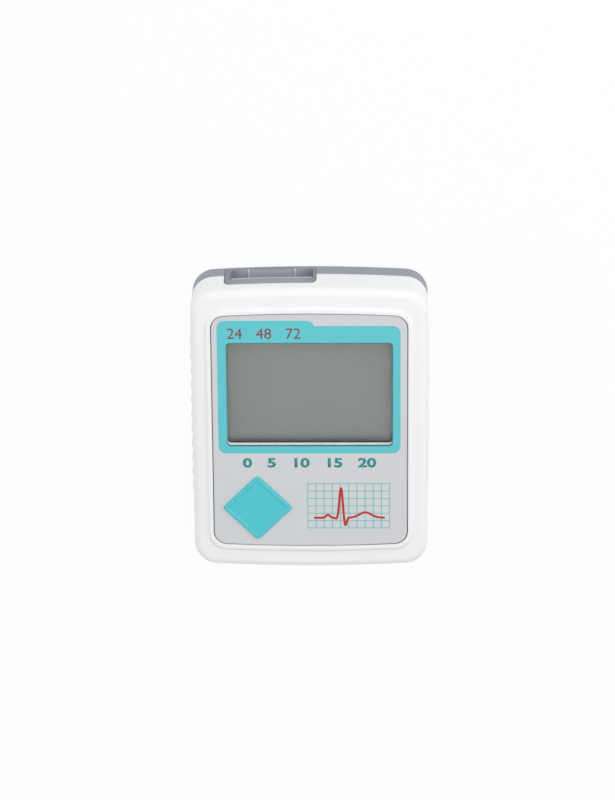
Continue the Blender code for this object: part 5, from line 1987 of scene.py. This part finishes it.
@dataclass
class EventKey(Piece):
    """The diamond key: a raised rim round a shallow dish, on a flange and a post."""

    top: float = 21.7
    flange: float = 0.9
    flange_high: float = 18.7
    flange_low: float = 17.9
    post_low: float = 17.6
    post_radius: float = 1.8
    edge: float = 0.55
    rim: float = 1.15
    slope: float = 0.5
    dish: float = 0.34
    dish_corner: float = 0.4
    post_edge: float = 0.1

    def build(self) -> None:
        """Builds the key from loops of its rounded square.

        The loops run up the flange and the sides, over the rounded rim, down a soft slope and
        across the dish.
        """
        plan = self.plan
        rows = [level(plan.key(self.flange), self.flange_low), level(plan.key(self.flange), self.flange_high)]
        rows.append(level(plan.key(0.0), self.flange_high))
        for inset, drop in edge_steps(self.edge, 5):
            rows.append(level(plan.key(-inset), self.top - drop))
        for share in np.linspace(-0.1, 1.1, 13):
            inset = self.rim + self.slope * (share - 0.5)
            corner = max(plan.key_corner - inset, self.dish_corner)
            rows.append(level(plan.key(-inset, corner), self.top - self.dish * smooth_step(share)))
        solid = Solid("diamond_key").loft(rows)
        x, y = plan.key_middle
        radius, edge, foot = self.post_radius, self.post_edge, self.post_low
        post = [(radius - edge, foot), (radius, foot + edge), (radius, self.flange_low + edge)]
        solid.turned(post, (x, y, 0.0), 32)
        solid.build(self.finishes.teal_key, Slot.TEAL, "event_button", body=Body.KEY)


@dataclass
class SnapDome(Piece):
    """The spring dome under the key's plunger, which flattens as the key goes down."""

    foot: float = 16.15
    radius: float = 1.7
    rise: float = 0.45
    thickness: float = 0.15
    seat: float = 16.0
    pressed_share: float = 0.55

    def build(self) -> None:
        """Builds the dome from a ball's cap and the same cap a thickness further in."""
        ball = (self.radius**2 + self.rise**2) / (2 * self.rise)
        turn = np.linspace(0, math.asin(self.radius / ball), 9)
        caps = ((ball, turn), (ball - self.thickness, turn[::-1]))
        foot = self.rise - ball
        profile = [np.column_stack([size * np.sin(at), foot + size * np.cos(at)]) for size, at in caps]
        solid = Solid("dome_spring").turned(np.concatenate(profile), (*self.plan.key_middle, self.foot), 40)
        dome = solid.build(self.finishes.steel, Slot.STEEL, "snap_dome")
        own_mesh(dome)


@dataclass
class Power(Piece):
    """The two cells and their contact springs.

    The base's steps are distances in from the can's side and up from its flat end. The crimp's
    are distances in from the side and down from the can's other end, and the nub's are distances
    out from its own side and up from that end.
    """

    radius: float = 5.25
    length: float = 44.5
    middle_z: float = 7.35
    rows: Pair = (-22.0, -33.1)
    tip: float = 24.0
    nub_radius: float = 1.9
    nub_height: float = 0.8
    plate_outer: float = 24.7
    plate: float = 0.4
    plate_width: float = 8.6
    plate_height: float = 9.4
    tab_width: float = 2.4
    tab_high: float = 13.5
    spring_length: float = 3.5
    spring_base: float = 3.3
    spring_tip: float = 1.9
    spring_turns: float = 3.5
    wire: float = 0.2
    core: float = 0.01
    base_steps: tuple[Pair, ...] = ((1.6, 0.12), (1.2, 0.0), (0.35, 0.0), (0.1, 0.1), (0.0, 0.35))
    crimp_steps: tuple[Pair, ...] = ((0.0, 0.5), (0.12, 0.15), (0.45, 0.0), (0.9, 0.2))
    nub_steps: tuple[Pair, ...] = ((0.7, -0.2), (0.1, -0.1), (0.0, 0.1))
    nub_edge: float = 0.2
    plate_edge: float = 0.12
    tab_edge: float = 0.1

    def cell(self, name: str, y: float, sign: int) -> None:
        """Builds one cell, turned from the outline of its can, crimp and nub.

        Args:
            name: The node that it stands for.
            y: Where its axis lies.
            sign: The end that its nub points to.
        """
        can = self.length - self.nub_height
        radius, nub, tip = self.radius, self.nub_radius, can + self.nub_height
        base = [(radius - inset, rise) for inset, rise in self.base_steps]
        crimp = [(radius - inset, can - drop) for inset, drop in self.crimp_steps]
        foot = [(nub + out, can + rise) for out, rise in self.nub_steps]
        end = [(nub, tip - self.nub_edge), (nub - self.nub_edge, tip), (self.core, tip)]
        points = np.array([(self.core, base[0][1]), *base, *crimp, *foot, *end])
        points[:, 1] = sign * (points[:, 1] + self.tip - self.length)
        solid = Solid("cell_" + name).turned(points, (0.0, y, self.middle_z), 64, lying=True)
        wrap = CellWrap("cell_wrap_" + name, sign * self.tip, sign, length=self.length)
        solid.build(wrap.material(), Slot.WRAP, name)

    def contact(self, solid: Solid, y: float, sign: int, width: float) -> None:
        """Adds a contact plate against an end wall of the bay.

        Args:
            solid: What the plate is added to.
            y: Its middle.
            sign: The end wall's side.
            width: The plate's width.
        """
        x = sorted((sign * self.plate_outer, sign * (self.plate_outer - self.plate)))
        low, high = self.middle_z - self.plate_height / 2, self.middle_z + self.plate_height / 2
        solid.block((x[0], y - width / 2, low), (x[1], y + width / 2, high), self.plate_edge)

    def tab(self, solid: Solid, y: float) -> None:
        """Adds the tab that joins a contact plate to the board.

        Args:
            solid: What the tab is added to.
            y: Its middle.
        """
        outer, half = -self.plate_outer, self.tab_width / 2
        low, high = (outer, y - half, self.middle_z), (outer + self.plate, y + half, self.tab_high)
        solid.block(low, high, self.tab_edge)

    def spring(self, solid: Solid, y: float, sign: int) -> None:
        """Adds a contact spring: a wire along a helix whose radius falls towards the cell.

        Args:
            solid: What the spring is added to.
            y: Its axis.
            sign: The side of the end wall that it stands on.
        """
        share = np.linspace(0, 1, 141)
        angle = 2 * math.pi * self.spring_turns * share
        radius = self.spring_base + (self.spring_tip - self.spring_base) * share
        start = self.plate_outer - self.plate
        x = sign * (start - (self.spring_length - self.wire) * share)
        route = np.column_stack([x, y + radius * np.cos(angle), self.middle_z + radius * np.sin(angle)])
        solid.tube(route, self.wire)

    def build(self) -> None:
        """Builds the cells and the contacts."""
        upper, lower = self.rows
        self.cell("battery_upper", upper, -1)
        self.cell("battery_lower", lower, 1)
        positive, negative = Solid("positive_plate"), Solid("negative_spring")
        for solid, y in ((positive, upper), (negative, lower)):
            self.contact(solid, y, -1, self.plate_width)
            self.tab(solid, y)
        self.spring(negative, lower, -1)
        positive.build(self.finishes.steel, Slot.STEEL, "positive_contact")
        negative.build(self.finishes.steel, Slot.STEEL, "negative_contact")
        series = Solid("series_spring")
        self.contact(series, (upper + lower) / 2, 1, upper - lower + self.plate_width)
        self.spring(series, upper, 1)
        series.build(self.finishes.steel, Slot.STEEL, "series_contact")


@dataclass
class Fasteners(Piece):
    """The four case screws, with domed heads and cross recesses."""

    head: float = 1.5
    sink: float = 0.3
    head_height: float = 1.1
    shank: float = 0.8
    length: float = 9.0
    cross: float = 0.98
    cross_width: float = 0.4
    cross_depth: float = 0.5
    head_edge: float = 0.15
    arm_wall: float = 0.1
    point: Pair = (0.2, 0.5)

    def screw(self, number: int, x: float, y: float) -> None:
        """Builds one screw that points up.

        Its head's face is a grid of rings: each point's depth is the cross recess's, with soft
        walls, where it lies in one of the two arms, and the outermost rings round the edge off.

        Args:
            number: Which screw it is.
            x: Its place.
            y: Its place.
        """
        angle = turns(96)
        edge, flat = self.head_edge, self.head - self.head_edge
        rim = flat + edge * np.sin(np.linspace(0.3, math.pi / 2, 5))
        radii = np.concatenate([np.linspace(0.02, flat, 26), rim])
        px, py = radii[:, None] * np.cos(angle), radii[:, None] * np.sin(angle)
        half = (self.cross_width + self.arm_wall) / 2

        def arm(along: Array, across: Array) -> Array:
            """How deep a point lies in an arm, from 0 to 1."""
            side = smooth_step((half - np.abs(across)) / self.arm_wall)
            return side * smooth_step((self.cross - np.abs(along)) / edge)

        deep = np.maximum(arm(px, py), arm(py, px)) * self.cross_depth
        over = np.clip(radii - flat, 0, edge - 0.0001)
        drop = edge - np.sqrt(edge**2 - over**2)
        head = np.stack([px, py, self.sink + deep + drop[:, None]], -1)
        foot = self.sink + self.head_height
        tip = foot + self.length
        shank, (end, taper) = self.shank, self.point
        profile = [(self.head, foot), (shank, foot), (shank, tip - taper), (end, tip)]
        rows = np.concatenate([head, spun(profile, angle)]) + [x, y, 0.0]
        solid = Solid(f"case_fastener_{number}").loft(rows)
        solid.build(self.finishes.steel, Slot.STEEL, f"case_screw_{number}")

    def build(self) -> None:
        """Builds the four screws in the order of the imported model's nodes."""
        across, along = self.plan.screw
        places = [(x, y) for x in (-across, across) for y in (-along, along)]
        for number, (x, y) in enumerate(places, 1):
            self.screw(number, x, y)


@dataclass
class Electronics:
    """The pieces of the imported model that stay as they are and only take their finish."""

    nodes: dict
    finishes: Finishes

    def build(self) -> None:
        """Gives each node that is still shown its finish, by what it is made of."""
        finishes = self.finishes
        rules = {"socket_contact": finishes.gold, "contact_strip": finishes.rubber, "_board": finishes.board}
        metal = ("screw", "shield_can", "crystal", "capacitor", "backup_cell", "cell_clip")
        rules |= dict.fromkeys(metal, finishes.steel)
        for name, node in self.nodes.items():
            if node.hide_render:
                continue
            chosen = next((material for part, material in rules.items() if part in name), finishes.black)
            node.data.materials.clear()
            node.data.materials.append(chosen)
            LOG.info("%s: %s", name, chosen.name)


# Stage


@dataclass
class Studio:
    """The floor, the soft light and the camera of the picture."""

    lens: float = 168.3
    distance: float = 1.10
    pitch: float = 22.0
    swing: float = 1.1
    roll: float = -0.49
    target: Triple = (-0.65, 10.1, 21.5)
    floor_half: float = 3000.0
    floor_glow: float = 0.94
    sky: float = 0.625
    floor_drop: float = 0.2
    floor_tone: Light = (0.86, 0.86, 0.86, 1.0)
    floor_roughness: float = 0.9
    white: Light = (1.0, 1.0, 1.0, 1.0)
    lamps: tuple[tuple[Triple, float, float], ...] = (
        ((120.0, 700.0, 420.0), 420.0, 1.35),
        ((40.0, 120.0, 360.0), 260.0, 0.26),
        ((620.0, 60.0, 360.0), 380.0, 0.9),
        ((-620.0, 0.0, 360.0), 380.0, 0.6),
    )

    def floor(self) -> None:
        """Builds the pale floor: it reads white to the camera and still takes a soft shadow."""
        board = NodeBoard("pale_floor")
        board.shade(Base_Color=self.floor_tone, Roughness=self.floor_roughness)
        glow = board.add("Emission", Color=self.white, Strength=1.0)
        path = board.add("LightPath").outputs
        seen = board.math("MAXIMUM", path["Is Camera Ray"], path["Is Glossy Ray"])
        seen = board.math("MAXIMUM", seen, path["Is Transmission Ray"])
        share = board.math("MULTIPLY", seen, self.floor_glow)
        blend = board.add("MixShader", i0=share, i1=board.shader.outputs[0], i2=glow.outputs[0])
        board.feed(board.output, Surface=blend.outputs[0])
        half = self.floor_half * MM
        mesh = bpy.data.meshes.new("floor")
        corners = [(x * half, y * half, 0) for x, y in ((-1, -1), (1, -1), (1, 1), (-1, 1))]
        mesh.from_pydata(corners, [], [(0, 1, 2, 3)])
        mesh.materials.append(board.owner)
        floor = placed("floor", mesh)
        floor.location.z = -self.floor_drop * MM
        floor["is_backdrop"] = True

    def world(self) -> None:
        """Lights everything softly from all round, and shows white to the camera."""
        board = NodeBoard("studio", world=True)
        bpy.context.scene.world = board.owner
        board.shade(Color=self.white, Strength=self.sky)
        plain = board.add("Background", Strength=1.0)
        path = board.add("LightPath").outputs
        seen = board.math("MAXIMUM", path["Is Camera Ray"], path["Is Transmission Ray"])
        mix = board.add("MixShader", i0=seen, i1=board.shader.outputs[0], i2=plain.outputs[0])
        board.feed(board.output, Surface=mix.outputs[0])

    def lights(self) -> None:
        """Hangs square soft boxes that point at the recorder."""
        for number, (place, size, power) in enumerate(self.lamps, 1):
            lamp = bpy.data.lights.new(f"soft_box_{number}", "AREA")
            lamp.size = size * MM
            lamp.energy = power
            obj = placed(lamp.name, lamp)
            obj.location = Vector(place) * MM
            obj.rotation_euler = (-obj.location).to_track_quat("-Z", "Y").to_euler()

    def camera(self) -> None:
        """Puts the camera over the socket's end, square to the face but for its pitch.

        The view direction is the face's normal, pitched towards +Y and swung towards +X, and the
        picture is rolled by a small angle about it.
        """
        pitch, swing, roll = (math.radians(angle) for angle in (self.pitch, self.swing, self.roll))
        back = Vector((math.sin(swing) * math.cos(pitch), math.sin(pitch), math.cos(swing) * math.cos(pitch)))
        right = Vector((math.cos(swing), 0.0, -math.sin(swing)))
        up = back.cross(right)
        turned_right = right * math.cos(roll) + up * math.sin(roll)
        turned_up = up * math.cos(roll) - right * math.sin(roll)
        data = bpy.data.cameras.new("camera")
        data.lens = self.lens
        data.sensor_width = 36.0
        data.clip_start = 0.05
        data.clip_end = 20.0
        camera = placed("camera", data)
        frame = Matrix((turned_right, turned_up, back)).transposed().to_4x4()
        frame.translation = Vector(self.target) * MM + back * self.distance
        camera.matrix_world = frame
        bpy.context.scene.camera = camera

    def build(self) -> None:
        """Builds the whole stage."""
        self.camera()
        self.floor()
        self.world()
        self.lights()
        bpy.context.scene.view_settings.view_transform = "Standard"


def corners() -> list[list[float]]:
    """The lowest and highest corner of what is shown, as plain lists."""
    return [[float(value) for value in corner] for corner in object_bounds()]


def main() -> None:
    """Builds the stage and every sub-assembly."""
    logging.basicConfig(level=logging.INFO, format="%(message)s")
    for old in list(bpy.data.objects):
        bpy.data.objects.remove(old, do_unlink=True)
    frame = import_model()
    Studio().build()
    plan = CasePlan()
    finishes = Finishes.make()
    housing = (FrontShell, RearShell, BatteryDoor, Socket)
    fittings = (Overlay, Display, EventKey, SnapDome, Power, Fasteners)
    for piece in housing + fittings:
        piece(plan, finishes).build()
    Electronics(frame["nodes"], finishes).build()


if __name__ == "__main__":
    main()
